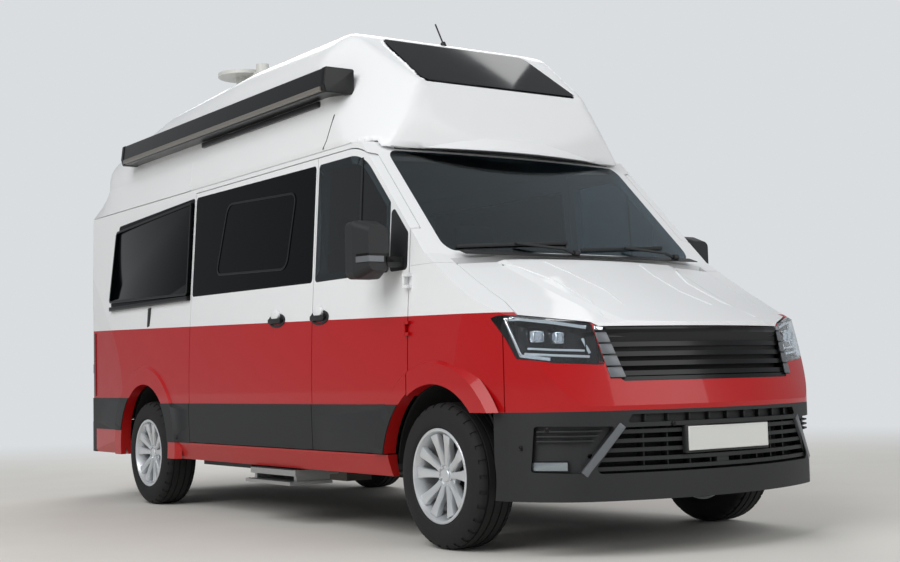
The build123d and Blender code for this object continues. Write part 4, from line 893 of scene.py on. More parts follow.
MESH_HALF, MESH_SETBACK, MESH_RISE, MESH_WALL = 0.66, 0.085, (-0.03, 0.0, 0.65), 0.006


def grille_edge(z):
    """Half width of the grille at a height."""
    return GRILLE_HALF + (z - GRILLE_LOW) / (GRILLE_HIGH - GRILLE_LOW) * GRILLE_SPREAD


def lamp_edge(z):
    """Half width where the lamps begin, at a height."""
    return LAMP_HALF + (z - LAMP_LOW) / LAMP_RISE * LAMP_SPREAD


def column_outline(foot, head, proud):
    """Four points on the fascia round a stretch of the column between lamp and grille."""
    outer = [on_front(FASCIA, -lamp_edge(z), z, proud) for z in (foot, head)]
    edges = [(-grille_edge(z) - COLUMN_INSET, z) for z in (head, foot)]
    inner = [on_front(FASCIA, y, z, proud) + COLUMN_LAP for y, z in edges]
    return outer + inner


class VAN_OT_grille(bpy.types.Operator):
    """Fit the grille's top bar, the satin slat columns and the dark mesh behind the openings"""

    bl_idname = "van.grille"
    bl_label = "Grille"

    def execute(self, context):
        top = [on_front(FRONT, y, TOP_BAR_HEIGHT, TOP_BAR_PROUD) for y in ACROSS]
        fitted(bar(top, 0.006, 0.014), "grille_top_bar", "gloss")
        pitch = (COLUMN_HEAD - COLUMN_FOOT) / COLUMN_SLATS
        slats = []
        for index in range(COLUMN_SLATS):
            low = COLUMN_FOOT + index * pitch
            points = column_outline(low, low + pitch - SLAT_GAP, SLAT_PROUD)
            slats.append(plate(points, (-SLAT_DEPTH, 0.0, 0.0), 0.003))
        fitted_pair(joined(slats), "grille_column_slats", "satin")
        points = column_outline(BACK_FOOT, BACK_HEAD, BACK_PROUD)
        fitted_pair(plate(points, (-BACK_DEPTH, 0.0, 0.0), 0.002), "grille_column_back", "gloss")
        points = [on_front(FRONT, y, z, CAP_PROUD) for y, z in CAP_OUTLINE]
        fitted_pair(plate(points, (-CAP_DEPTH, 0.0, 0.0), 0.003), "grille_column_cap", "chrome")
        stations = (-MESH_HALF, *ACROSS[1:-1], MESH_HALF)
        sheet = row([on_front(BUMPER, y, INTAKE_SILL, -MESH_SETBACK) for y in stations])
        bpy.ops.mesh.extrude_region_move(TRANSFORM_OT_translate={"value": MESH_RISE})
        modify(sheet, "SOLIDIFY", thickness=MESH_WALL, offset=0.0)
        fitted(settle(sheet), "cooling_mesh", "tar")
        return {"FINISHED"}


# Bumper

SLOT_RIBS, SLOT_RIB_START, SLOT_RIB_PITCH = 9, -0.46, 0.115
SLOT_LOW, SLOT_MIDDLE, SLOT_HIGH = 0.613, 0.630, 0.649
SLOT_SEAT, SLOT_REACH = 0.002, 0.024
INTAKE_RIBS = (-0.46, -0.34, -0.22, -0.10, 0.10, 0.22, 0.34, 0.46)
INTAKE_LOW, INTAKE_HIGH, INTAKE_BACK, INTAKE_FRONT = 0.392, 0.588, 0.075, 0.030
RIB_HALF, RIB_SOFT = 0.004, 0.0015
DIAGONAL_TOP, DIAGONAL_FOOT, DIAGONAL_SEAT = (-0.572, 0.603), (-0.742, 0.382), 0.006
DIAGONAL_BOW = Vector((0.002, 0.0, 0.0))
FOG_LAMP = ((-0.893, 0.396), (-0.893, 0.446), (-0.790, 0.446), (-0.790, 0.396))
FOG_PROUD, FOG_DEPTH, FOG_CORNER = 0.002, 0.018, 0.006
FOG_FRAME_PROUD, FOG_FRAME = 0.016, 0.006
LOUVRES, LOUVRE_PROUD = (0.578, 0.556, 0.534), 0.012
LOUVRE_STATIONS, LOUVRE_END, LOUVRE_LEAN = (-0.875, -0.79, -0.70), -0.655, 0.018
SENSORS = ((-0.700, 0.465), (-0.925, 0.505), (-0.330, 0.6005))
SENSOR_RADIUS, SENSOR_DEPTH, SENSOR_SOFT = 0.011, 0.012, 0.002
PLATE_HOLDER = ((2.950, -0.272, 0.462), (2.9815, 0.272, 0.592))
BLANK_PLATE = ((2.9790, -0.260, 0.4745), (2.9890, 0.260, 0.5855))
BLANK_RIM, BLANK_SINK = 0.004, 0.001
TOWING_COVER = ((2.930, -0.075, 0.395), (2.9750, 0.005, 0.455))


def bumper_ribs():
    """The upright ribs in the slot over the intake, and those inside the intake."""
    upper, lower = [], []
    for index in range(SLOT_RIBS):
        y = SLOT_RIB_START + index * SLOT_RIB_PITCH
        back = on_front(BUMPER, y, SLOT_MIDDLE, -SLOT_SEAT).x
        low = (back, y - RIB_HALF, SLOT_LOW)
        upper.append(block(low, (back + SLOT_REACH, y + RIB_HALF, SLOT_HIGH), RIB_SOFT))
    fitted(joined(upper), "bumper_slot_ribs", "plastic")
    for y in INTAKE_RIBS:
        face = on_front(BUMPER, y, INTAKE_SILL).x
        low = (face - INTAKE_BACK, y - RIB_HALF, INTAKE_LOW)
        lower.append(block(low, (face - INTAKE_FRONT, y + RIB_HALF, INTAKE_HIGH), RIB_SOFT))
    fitted(joined(lower), "intake_ribs", "plastic")


def bumper_corners():
    """The diagonal bar, the framed fog lamp and the louvres of each corner."""
    top, low = (on_front(BUMPER, y, z, -DIAGONAL_SEAT) for y, z in (DIAGONAL_TOP, DIAGONAL_FOOT))
    diagonal = bar((top, top.lerp(low, 0.5) + DIAGONAL_BOW, low), 0.010, 0.018)
    fitted_pair(diagonal, "bumper_diagonal", "satin")
    points = [on_front(BUMPER, y, z, FOG_PROUD) for y, z in FOG_LAMP]
    fitted_pair(plate(points, (FOG_DEPTH, 0.0, 0.0), 0.003, FOG_CORNER), "fog_lamp", "fog")
    points = [on_front(BUMPER, y, z, FOG_FRAME_PROUD) for y, z in FOG_LAMP]
    frame_ring = ring(points, (FOG_FRAME, 0.0, 0.0), FOG_FRAME, FOG_CORNER)
    fitted_pair(frame_ring, "fog_lamp_frame", "gloss")
    for index, z in enumerate(LOUVRES):
        stations = (*LOUVRE_STATIONS, LOUVRE_END - LOUVRE_LEAN * index)
        points = [on_front(BUMPER, y, z, LOUVRE_PROUD) for y in stations]
        fitted_pair(bar(points, 0.012, 0.004), f"bumper_louvre_{index}", "plastic")


def parking_sensor(y, z):
    """One round sensor flush in the bumper."""
    face = on_front(BUMPER, y, z)
    only(None)
    bpy.ops.mesh.primitive_cylinder_add(
        vertices=24, radius=SENSOR_RADIUS, depth=SENSOR_DEPTH, location=face,
        rotation=(0.0, math.pi / 2, 0.0),
    )
    return rounded(bpy.context.active_object, SENSOR_SOFT)


class VAN_OT_bumper(bpy.types.Operator):
    """Fit the bumper's ribs, louvres, fog lamps, diagonal bars, sensors and blank plate"""

    bl_idname = "van.bumper"
    bl_label = "Bumper"

    def execute(self, context):
        bumper_ribs()
        bumper_corners()
        sensors = [parking_sensor(y, z) for y, z in SENSORS]
        fitted_pair(joined(sensors), "parking_sensors", "gloss")
        fitted(block(*PLATE_HOLDER, 0.006), "plate_holder", "plastic")
        blank = block(*BLANK_PLATE, 0.003)
        enter(blank, "FACE", lambda face: face.normal.x > SQUARE_ON)
        bpy.ops.mesh.inset(thickness=BLANK_RIM)
        bpy.ops.mesh.extrude_region_move(TRANSFORM_OT_translate={"value": (-BLANK_SINK, 0.0, 0.0)})
        fitted(blank, "blank_plate", "plate")
        fitted(block(*TOWING_COVER, 0.006), "towing_eye_cover", "plastic")
        return {"FINISHED"}


# Handles and flap: whole numbers are millimetres ahead of the front axle

FRONT_HANDLE, SLIDING_HANDLE = (-1130, 1.202), (-1643, 1.208)
FRONT_DOORS = ("door_right", "door_left")
CUP_WIDTH, CUP_HEIGHT, CUP_DROP, CUP_SEAT = 0.205, 0.086, 0.016, 0.004
CUP_PROUD, CUP_RIM, CUP_SINK = 0.012, 0.008, 0.006
GRIP_HALF, GRIP_OUT, GRIP_IN, GRIP_LOW, GRIP_HIGH = 0.074, 0.028, 0.013, 0.034, 0.004
FOOT_PLACE, FOOT_HALF, FOOT_OUT, FOOT_LOW, FOOT_HIGH = 0.060, 0.012, 0.024, 0.028, 0.010
KNOB_WIDTH, KNOB_HEIGHT, KNOB_LIFT, KNOB_SEAT, KNOB_PROUD = 0.100, 0.066, 0.016, 0.003, 0.026
VENT_FOOT, VENT_HEAD, VENT_SIGHT, VENT_PROUD = -3597, -3576, 1.30, 0.006
VENT_HALF, VENT_LOW, VENT_HIGH, VENT_LEAN = 0.022, 1.237, 1.368, 0.005
REAR_HANDLE = ((-2.938, -0.150, 1.085), (-2.900, -0.030, 1.135))


def oval(x, z, y, width, height, count=20):
    """Points round an oval on the right side."""
    angles = [math.tau * index / count for index in range(count)]
    return [(x + width / 2 * math.cos(a), y, z + height / 2 * math.sin(a)) for a in angles]


def door_handle(panel, x, z):
    """A black cup with its grip bar, and the painted cap over it."""
    y = on_right((panel,), x, z).y
    outline = oval(x, z - CUP_DROP, y + CUP_SEAT, CUP_WIDTH, CUP_HEIGHT)
    cup = plate(outline, (0.0, -CUP_PROUD, 0.0), 0.004)
    enter(cup, "FACE", lambda face: face.normal.y < -SQUARE_ON)
    bpy.ops.mesh.inset(thickness=CUP_RIM)
    bpy.ops.mesh.extrude_region_move(TRANSFORM_OT_translate={"value": (0.0, CUP_SINK, 0.0)})
    low = (x - GRIP_HALF, y - GRIP_OUT, z - GRIP_LOW)
    grip = block(low, (x + GRIP_HALF, y - GRIP_IN, z - GRIP_HIGH), 0.007, 3)
    feet = []
    for place in (x - FOOT_PLACE, x + FOOT_PLACE):
        low = (place - FOOT_HALF, y - FOOT_OUT, z - FOOT_LOW)
        feet.append(block(low, (place + FOOT_HALF, y, z - FOOT_HIGH), 0.005))
    outline = oval(x, z + KNOB_LIFT, y + KNOB_SEAT, KNOB_WIDTH, KNOB_HEIGHT)
    cap = plate(outline, (0.0, -KNOB_PROUD, 0.0), 0.010)
    return joined([cup, grip, *feet]), cap


class VAN_OT_handles(bpy.types.Operator):
    """Fit the door handles and the side flap"""

    bl_idname = "van.handles"
    bl_label = "Handles"

    def execute(self, context):
        x, z = FRONT_HANDLE
        black, cap = door_handle("door_right", along(x), z)
        fitted_pair(black, "front_door_handle", "plastic", FRONT_DOORS)
        fitted_pair(cap, "front_door_handle_cap", "white", FRONT_DOORS)
        x, z = SLIDING_HANDLE
        black, cap = door_handle("sliding_door", along(x), z)
        fitted(black, "sliding_door_handle", "plastic")
        fitted(cap, "sliding_door_handle_cap", "white")
        foot, head = along(VENT_FOOT), along(VENT_HEAD)
        y = on_right(("side_wall_right",), foot, VENT_SIGHT).y
        points = (
            (foot - VENT_HALF, y, VENT_LOW), (foot + VENT_HALF, y, VENT_LOW + VENT_LEAN),
            (head + VENT_HALF, y, VENT_HIGH + VENT_LEAN), (head - VENT_HALF, y, VENT_HIGH),
        )
        fitted(plate(points, (0.0, -VENT_PROUD, 0.0), 0.002, 0.006), "vent_flap", "plastic")
        rear = block(*REAR_HANDLE, 0.008, 3)
        fitted(rear, "rear_door_handle", "plastic", "rear_door_right")
        return {"FINISHED"}


# Mirrors

STRIP_LOW, STRIP_HIGH, STRIP_ROOT, STRIP_TIP, STRIP_WALL = 1.425, 1.468, 1.0, 1.208, 0.003
REPEATER_ROOT, REPEATER_TOP, REPEATER_BACK, REPEATER_WALL = 1.10, 1.455, 1.62, 0.005
STEEP = 0.7
GLASS_VIEW, GLASS_VIEW_Y, GLASS_VIEW_Z = 0.6, 1.125, 1.55
MIRROR_GLASS = ((1.065, 1.42), (1.065, 1.61), (1.185, 1.61), (1.185, 1.42))
MIRROR_SEAT, MIRROR_DEPTH = 0.001, 0.004


def upright(face):
    """Whether a face looks outwards more than up or down."""
    return abs(face.normal.z) < STEEP


class VAN_OT_mirrors(bpy.types.Operator):
    """Fit the mirror glass and the gloss strips with their grey repeaters"""

    bl_idname = "van.mirrors"
    bl_label = "Mirrors"

    def execute(self, context):
        for hand, side in SIDES:
            head, body = "mirror_" + hand, "door_" + hand
            band = [above(STRIP_LOW), below(STRIP_HIGH)]
            tip = inside(STRIP_TIP, side)
            strip = skin(head, [*band, outside(STRIP_ROOT, side), tip], upright, STRIP_WALL)
            fitted(strip, "mirror_strip_" + hand, "gloss", body)
            cuts = [*band, outside(REPEATER_ROOT, side), tip, ahead_of(REPEATER_BACK), below(REPEATER_TOP)]
            fitted(skin(head, cuts, upright, REPEATER_WALL), "mirror_repeater_" + hand, "satin", body)
            face = touch((head,), (GLASS_VIEW, side * GLASS_VIEW_Y, GLASS_VIEW_Z), FORWARD)
            points = [(face.x + MIRROR_SEAT, side * y, z) for y, z in MIRROR_GLASS]
            glass = plate(points, (-MIRROR_DEPTH, 0.0, 0.0), 0.001, 0.02)
            fitted(glass, "mirror_glass_" + hand, "mirror", body)
        return {"FINISHED"}


# Windows: outlines list places along and heights, and whole numbers are millimetres from the front axle

SLIDING_PANE = ((-2516, 1519), (-2384, 1974), (-1456, 1936), (-1546, 1483))
SLIDING_PROUD, SLIDING_DEPTH, SLIDING_RIM, SLIDING_CORNER = 0.0005, 0.004, 0.014, 0.07
QUARTER = ("side_windows", "side_wall_right", "sliding_door")
QUARTER_PANE = ((-2.335, 1.445), (-2.262, 1.975), (-0.915, 2.045), (-0.915, 1.420))
QUARTER_SEAT, QUARTER_DEPTH, QUARTER_CORNER = 0.002, 0.020, 0.03
QUARTER_PROUD, QUARTER_RIM, QUARTER_RIM_DEPTH = 0.018, 0.016, 0.005
RAIL_STATIONS, RAIL_HEIGHT, RAIL_PROUD = (-2.32, -1.6, -0.90), 1.400, 0.012
DIVIDER_PLACE, DIVIDER_HEIGHTS = -720, (1.392, 1.72, 2.030)


class VAN_OT_windows(bpy.types.Operator):
    """Fit the opening panes, their frames and rails, and the door glass dividers"""

    bl_idname = "van.windows"
    bl_label = "Windows"

    def execute(self, context):
        glass = ("sliding_door_glass",)
        points = [on_right(glass, along(x), z * MM, SLIDING_PROUD) for x, z in SLIDING_PANE]
        rim = ring(points, (0.0, -SLIDING_DEPTH, 0.0), SLIDING_RIM, SLIDING_CORNER)
        fitted(rim, "sliding_window_frame", "gloss")
        points = [on_right(QUARTER, x, z, -QUARTER_SEAT) for x, z in QUARTER_PANE]
        pane = plate(points, (0.0, -QUARTER_DEPTH, 0.0), 0.006, QUARTER_CORNER)
        fitted(pane, "quarter_window_pane", "glass")
        points = [on_right(QUARTER, x, z, QUARTER_PROUD) for x, z in QUARTER_PANE]
        rim = ring(points, (0.0, -QUARTER_RIM_DEPTH, 0.0), QUARTER_RIM, QUARTER_CORNER)
        fitted(rim, "quarter_window_frame", "gloss")
        rail = [on_right(QUARTER, x, RAIL_HEIGHT, RAIL_PROUD) for x in RAIL_STATIONS]
        fitted(bar(rail, 0.014, 0.016), "quarter_window_rail", "gloss")
        for hand, side in SIDES:
            body = "door_" + hand
            starts = [(along(DIVIDER_PLACE), side * ASIDE, z) for z in DIVIDER_HEIGHTS]
            points = [touch(("door_glass_" + hand, body), start, (0.0, -side, 0.0)) for start in starts]
            fitted(bar(points, 0.008, 0.005), "door_glass_divider_" + hand, "plastic", body)
        return {"FINISHED"}


# Cowl and wipers

SCUTTLE_BACK, SCUTTLE_HEIGHT, SCUTTLE_WALL = 1.948, 1.474, 0.004
SCUTTLE_START, SCUTTLE_PITCH, SCUTTLE_POINTS = -0.80, 0.16, 11
SCUTTLE_FALL = (0.064, 0.0, -0.022)
WIPERS = (("right", -0.78, -0.06), ("left", 0.0, 0.66))
BLADE_FOOT, BLADE_RISE, BLADE_PROUD, BLADE_SPANS = 1.498, 0.010, 0.010, 4
PIVOT_X, PIVOT_INSET, PIVOT_Z = 1.985, 0.02, 1.475
ARM_ELBOW, ARM_LIFT = Vector((-0.004, -0.06, 0.022)), Vector((0.012, 0.0, 0.006))
PIVOT_CAP = ((0.0, 0.0), (0.016, 0.0), (0.018, 0.006), (0.018, 0.03), (0.0, 0.03))


def wiper(start, end):
    """A blade lying on the windscreen, with its arm and pivot cap."""
    line = []
    for index in range(BLADE_SPANS + 1):
        y = start + (end - start) * index / BLADE_SPANS
        line.append(on_front(("windscreen",), y, BLADE_FOOT + BLADE_RISE * index, BLADE_PROUD))
    blade = bar(line, 0.005, 0.009)
    pivot = Vector((PIVOT_X, end - PIVOT_INSET, PIVOT_Z))
    arm = bar((pivot, pivot + ARM_ELBOW, line[BLADE_SPANS // 2] + ARM_LIFT), 0.006, 0.007)
    return joined([blade, arm, spun(PIVOT_CAP, pivot, 24)])


class VAN_OT_cowl(bpy.types.Operator):
    """Close the gap under the windscreen with a scuttle panel and lay two wipers on it"""

    bl_idname = "van.cowl"
    bl_label = "Cowl and wipers"

    def execute(self, context):
        across = [SCUTTLE_START + SCUTTLE_PITCH * index for index in range(SCUTTLE_POINTS)]
        tray = row([(SCUTTLE_BACK, y, SCUTTLE_HEIGHT) for y in across])
        bpy.ops.mesh.extrude_region_move(TRANSFORM_OT_translate={"value": SCUTTLE_FALL})
        modify(tray, "SOLIDIFY", thickness=SCUTTLE_WALL, offset=0.0)
        fitted(settle(tray), "scuttle_panel", "plastic")
        for label, start, end in WIPERS:
            fitted(wiper(start, end), "wiper_" + label, "plastic")
        return {"FINISHED"}


# Awning and roof

WINDOW_ROOM = ((0.78, 1.33), 0.60, (2.45, 2.87))
ROOF_FOOT, ROOF_BLEND, ROOF_CREASE = 2.18, 0.10, 40.0


class VAN_OT_roof_shell(bpy.types.Operator):
    """Mould the roof cap as one soft shell, with its edges drawn round"""

    bl_idname = "van.roof_shell"
    bl_label = "Roof shell"

    def execute(self, context):
        sizes = context.scene.van_sizes
        shell = traced("roof_shell", NODES["roof_cap"].data)
        modify(shell, "REMESH", mode="VOXEL", voxel_size=sizes.roof_grain)
        (back, front), half, (low, high) = WINDOW_ROOM
        soft = shell.vertex_groups.new(name="soft")
        for vertex in shell.data.vertices:
            x, y, z = vertex.co
            framed = back < x < front and abs(y) < half and low < z < high
            if not framed:
                weight = min(1.0, max(0.0, (z - ROOF_FOOT) / ROOF_BLEND))
                soft.add([vertex.index], weight, "REPLACE")
        modify(shell, "SMOOTH", factor=0.5, iterations=sizes.roof_softness, vertex_group="soft")
        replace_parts(fitted(shell, "roof_shell", "white", "body", ROOF_CREASE), "roof_cap")
        return {"FINISHED"}


LEAD_STATIONS, LEAD_Y, LEAD_Z = (-1.985, -0.5, 0.945), -1.006, 2.462
AWNING_ENDS = (("front", ahead_of(0.950)), ("rear", behind(-1.996)))
AWNING_FLAT, AWNING_SOFT, AWNING_CAP = math.radians(2.0), 0.020, 0.003
GUTTER_STATIONS, GUTTER_HEIGHT, GUTTER_PROUD = (-0.84, -0.3, 0.25, 0.75), 2.417, 0.008
SEAM_PANELS = ("roof_cap", "cab_frame", "side_wall_right")
# Millimetres ahead of the front axle, and millimetres up
ROOF_SEAM = ((-1071, 2327), (-1100, 2258), (-1130, 2185), (-1165, 2140))
SKIRT_WALLS = ("side_wall_right", "side_wall_left", "rear_door_right", "rear_door_left", "sliding_door")
SKIRT_ALONG, SKIRT_ACROSS = (-1.0, -1.35, -1.7, -2.1, -2.45), (-0.55, -0.30, -0.05)
SKIRT_CORNER, SKIRT_REACH, SKIRT_BACK = Vector((-2.55, -0.60)), 1.2, -3.4
SKIRT_START, SKIRT_TURN, SKIRT_FANS = 260, 10, 9
SKIRT_VIEW, SKIRT_FOOT, SKIRT_CROWN = 2.085, 2.131, 2.330
SKIRT_FOOT_PROUD, SKIRT_CROWN_PROUD, SKIRT_WALL, SKIRT_CREASE = 0.001, 0.002, 0.006, 50.0


def skirt_stations():
    """Where to look from, and which way, round the right, the rear and the left of the roof's foot."""
    right = [((x, -ASIDE), (0.0, 1.0)) for x in SKIRT_ALONG]
    for index in range(SKIRT_FANS):
        angle = math.radians(SKIRT_START - index * SKIRT_TURN)
        out = Vector((math.cos(angle), math.sin(angle)))
        right.append((SKIRT_CORNER + out * SKIRT_REACH, -out))
    right += [((SKIRT_BACK, y), (1.0, 0.0)) for y in SKIRT_ACROSS]
    left = [((start[0], -start[1]), (ahead[0], -ahead[1])) for start, ahead in reversed(right)]
    return right + left


def roof_skirt():
    """A sloping skirt from the walls' tops to the foot of the roof."""
    lower, upper = [], []
    for start, ahead in skirt_stations():
        out = Vector((-ahead[0], -ahead[1], 0.0))
        foot = touch(SKIRT_WALLS, (*start, SKIRT_VIEW), (*ahead, 0.0)) + out * SKIRT_FOOT_PROUD
        crown = touch(("roof_cap",), (*start, SKIRT_CROWN), (*ahead, 0.0)) + out * SKIRT_CROWN_PROUD
        lower.append(Vector((foot.x, foot.y, SKIRT_FOOT)))
        upper.append(crown)
    skirt = joined([settle(row(lower)), settle(row(upper))])
    enter(skirt)
    bpy.ops.mesh.select_mode(type="EDGE")
    bpy.ops.mesh.select_all(action="SELECT")
    bpy.ops.mesh.bridge_edge_loops()
    settle(skirt)
    modify(skirt, "SOLIDIFY", thickness=SKIRT_WALL, offset=-1.0)
    return skirt


class VAN_OT_roof_fittings(bpy.types.Operator):
    """Fit the awning's rails and caps, the roof's seam and its skirt"""

    bl_idname = "van.roof_fittings"
    bl_label = "Roof fittings"

    def execute(self, context):
        lead = [(x, LEAD_Y, LEAD_Z) for x in LEAD_STATIONS]
        fitted(bar(lead, 0.014, 0.014), "awning_lead_rail", "rail")
        cassette = traced("awning_cassette", NODES["awning"].data)
        bpy.ops.mesh.dissolve_limited(angle_limit=AWNING_FLAT)
        bpy.ops.object.mode_set(mode="OBJECT")
        rounded(cassette, AWNING_SOFT, 5)
        for label, cut in AWNING_ENDS:
            cap = skin("awning", [cut], lambda face: True, AWNING_CAP, cassette.data)
            fitted(cap, f"awning_cap_{label}", "gloss")
        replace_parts(fitted(cassette, "awning_cassette", "anodised"), "awning")
        rail = [on_right(("roof_cap",), x, GUTTER_HEIGHT, GUTTER_PROUD) for x in GUTTER_STATIONS]
        fitted(bar(rail, 0.012, 0.017), "awning_gutter_rail", "anodised")
        seam = [on_right(SEAM_PANELS, along(x), z * MM) for x, z in ROOF_SEAM]
        fitted(bar(seam, 0.0022, 0.0022), "roof_seam", "tar")
        fitted(roof_skirt(), "roof_skirt", "white", "body", SKIRT_CREASE)
        return {"FINISHED"}


# Visor and bonnet creases

VISOR_HALF, VISOR_STEPS, VISOR_SHOULDER = 0.76, 6, 0.03
LIP_BACK, LIP_REACH, LIP_HEIGHT, LIP_DEPTH = 1.290, 0.130, 2.096, 0.062
LIP_TOP, LIP_FRONT, LIP_LEAN, LIP_SOFT, LIP_CREASE = 2.15, 1.30, (-0.055, 0.0, 0.020), 0.016, 50.0
# Place of the dark plate under the lip: painted shade for the shadow under the overhang
UNDER_BACK, UNDER_REACH, UNDER_HEIGHT, UNDER_DEPTH = 1.285, 0.118, 2.088, 0.010
OVERHEAD = 2.0
CREASE_SINK, CREASE_HALF = Vector((0.0, 0.0, 0.0032)), 0.0055
CREASES = (
    ("outer", ((2.030, -0.606), (2.108, -0.540), (2.279, -0.455), (2.536, -0.445), (2.700, -0.510))),
    ("inner", ((2.040, -0.330), (2.200, -0.285), (2.430, -0.255), (2.610, -0.300))),
)


def visor_plan(back, reach, height):
    """Points round a lip that bows forward over the windscreen."""
    across = [VISOR_HALF * (index / VISOR_STEPS - 1) for index in range(2 * VISOR_STEPS + 1)]
    shoulder = back + VISOR_SHOULDER
    curve = [(shoulder + reach * (1 - (y / VISOR_HALF) ** 2), y, height) for y in across]
    return [(back, -VISOR_HALF, height), *curve, (back, VISOR_HALF, height)]


class VAN_OT_visor_and_creases(bpy.types.Operator):
    """Fit the lip of the roof over the windscreen with a dark plate of painted shade under it, and lay two
    raised creases on each half of the bonnet
    """

    bl_idname = "van.visor_and_creases"
    bl_label = "Visor and creases"

    def execute(self, context):
        lip = plate(visor_plan(LIP_BACK, LIP_REACH, LIP_HEIGHT), (0.0, 0.0, LIP_DEPTH), 0.0)
        enter(lip, "VERT", lambda vertex: vertex.co.z > LIP_TOP and vertex.co.x > LIP_FRONT)
        bpy.ops.transform.translate(value=LIP_LEAN)
        fitted(rounded(lip, LIP_SOFT, 3), "visor_lip", "white", "body", LIP_CREASE)
        # A thin plate in grained black under the lip: painted shade standing in for the shadow beneath the
        # overhang, not a trim part
        under = plate(visor_plan(UNDER_BACK, UNDER_REACH, UNDER_HEIGHT), (0.0, 0.0, UNDER_DEPTH), 0.003)
        fitted(under, "visor_painted_shade", "plastic")
        for label, line in CREASES:
            points = [touch(("bonnet",), (x, y, OVERHEAD), DOWN) - CREASE_SINK for x, y in line]
            crease = bar(points, CREASE_HALF, CREASE_HALF)
            fitted_pair(crease, f"bonnet_crease_{label}", "white", ("bonnet", "bonnet"))
        return {"FINISHED"}


# Cab

PAD_MESH, PAD_PRESSURE, PAD_FRAMES = 0.014, 4.0, 20
PAD_CREASE, PAD_SHARE = 60.0, 0.7
SEAT_PITCH = 0.86


def swell(pad, most):
    """Fills a pad with pressure as cloth, and holds each point to the most that it may move."""
    scene = bpy.context.scene
    rest = [vertex.co.copy() for vertex in pad.data.vertices]
    only(pad)
    bpy.ops.object.modifier_add(type="CLOTH")
    cloth = pad.modifiers[-1]
    cloth.settings.use_pressure = True
    cloth.settings.uniform_pressure_force = PAD_PRESSURE
    cloth.settings.effector_weights.gravity = 0.0
    cloth.point_cache.frame_end = PAD_FRAMES
    for moment in range(1, PAD_FRAMES + 1):
        scene.frame_set(moment)
    bpy.ops.object.modifier_apply(modifier=cloth.name)
    scene.frame_set(1)
    for vertex, start in zip(pad.data.vertices, rest):
        step = vertex.co - start
        if step.length > most:
            vertex.co = start + step.normalized() * most


class VAN_OT_seats(bpy.types.Operator):
    """Pad the two cab seats by filling their shape with pressure"""

    bl_idname = "van.seats"
    bl_label = "Seats"

    def execute(self, context):
        pad = traced("seat_pad", NODES["seat_right"].data)
        settle(pad)
        modify(pad, "REMESH", mode="VOXEL", voxel_size=PAD_MESH)
        swell(pad, context.scene.van_sizes.pad_swell)
        modify(pad, "SMOOTH", factor=0.5, iterations=4)
        modify(pad, "SUBSURF", levels=1, render_levels=1)
        twin = moved(copied(pad), (0.0, SEAT_PITCH, 0.0))
        for hand, piece in (("right", pad), ("left", twin)):
            fitted(piece, "seat_pad_" + hand, "fabric", "body", PAD_CREASE)
            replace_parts(piece, "seat_" + hand)
        return {"FINISHED"}


# Step and tail lamps

TREAD_RIBS, TREAD_PITCH, TREAD_END, TREAD_HALF = 7, 0.014, 0.02, 0.003
TREAD_X, TREAD_ABOVE = 0.2, 0.6
LAMP_BAND_LOW, LAMP_BAND_HIGH, LAMP_BAND_INSIDE, LAMP_BAND_WALL = 0.93, 1.00, 0.5, 0.003
WRAP_LOW, WRAP_HIGH, WRAP_FRONT, WRAP_BACK, WRAP_WALL = 0.756, 1.236, -2.690, -2.835, 0.006
LAMP_FACES, WRAP_FACES = 0.2, 0.4


class VAN_OT_step_and_lamps(bpy.types.Operator):
    """Rib the entry step's treads and band the tail lamps"""

    bl_idname = "van.step_and_lamps"
    bl_label = "Step and tail lamps"

    def execute(self, context):
        low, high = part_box("entry_step")
        back, front = low[0] + TREAD_END, high[0] - TREAD_END
        ribs = []
        for index in range(TREAD_RIBS):
            y = low[1] + TREAD_PITCH + index * TREAD_PITCH
            top = touch(("entry_step",), (TREAD_X, y, TREAD_ABOVE), DOWN).z
            ribs.append(bar(((back, y, top), (front, y, top)), TREAD_HALF, TREAD_HALF))
        fitted(joined(ribs), "step_tread_ribs", "plastic", "entry_step")
        for hand, side in SIDES:
            cuts = [above(LAMP_BAND_LOW), below(LAMP_BAND_HIGH), outside(LAMP_BAND_INSIDE, side)]
            band = skin(
                "tail_lamps", cuts,
                lambda face: face.normal.x < -LAMP_FACES or face.normal.y * side > LAMP_FACES,
                LAMP_BAND_WALL,
            )
            fitted(band, "tail_lamp_band_" + hand, "satin")
            cuts = [above(WRAP_LOW), below(WRAP_HIGH), behind(WRAP_FRONT), ahead_of(WRAP_BACK)]
            wrap = skin("side_wall_" + hand, cuts, lambda face: face.normal.y * side > WRAP_FACES, WRAP_WALL)
            fitted(wrap, "tail_lamp_wrap_" + hand, "red_lens")
        return {"FINISHED"}


# Stage

CAMERA_PLACE = Vector((7.6566, -4.8019, 0.8397))
CAMERA_YAW, CAMERA_PITCH, CAMERA_ROLL = 145.35, 3.93, -1.39
CAMERA_LENS, CAMERA_SENSOR, CAMERA_REACH = 55.63, 36.0, 300.0
BACKDROP, SKY, SKY_STRENGTH = "#DADDE0", "#E6EAEE", 0.42
FLOOR_TONES, FLOOR_RADIUS, FADE_NEAR, FADE_FAR = ("#D6D3CC", "#DEDCD6"), 80.0, 5.0, 13.0
LAMPS = (
    ("key", (4.0, -10.0, 9.0), 9.0, 1080.0),
    ("front_fill", (11.0, 3.0, 6.0), 7.0, 380.0),
    ("rear_fill", (-9.0, 6.0, 8.0), 8.0, 520.0),
)
LAMP_AIM = Vector((0.0, 0.0, 1.2))


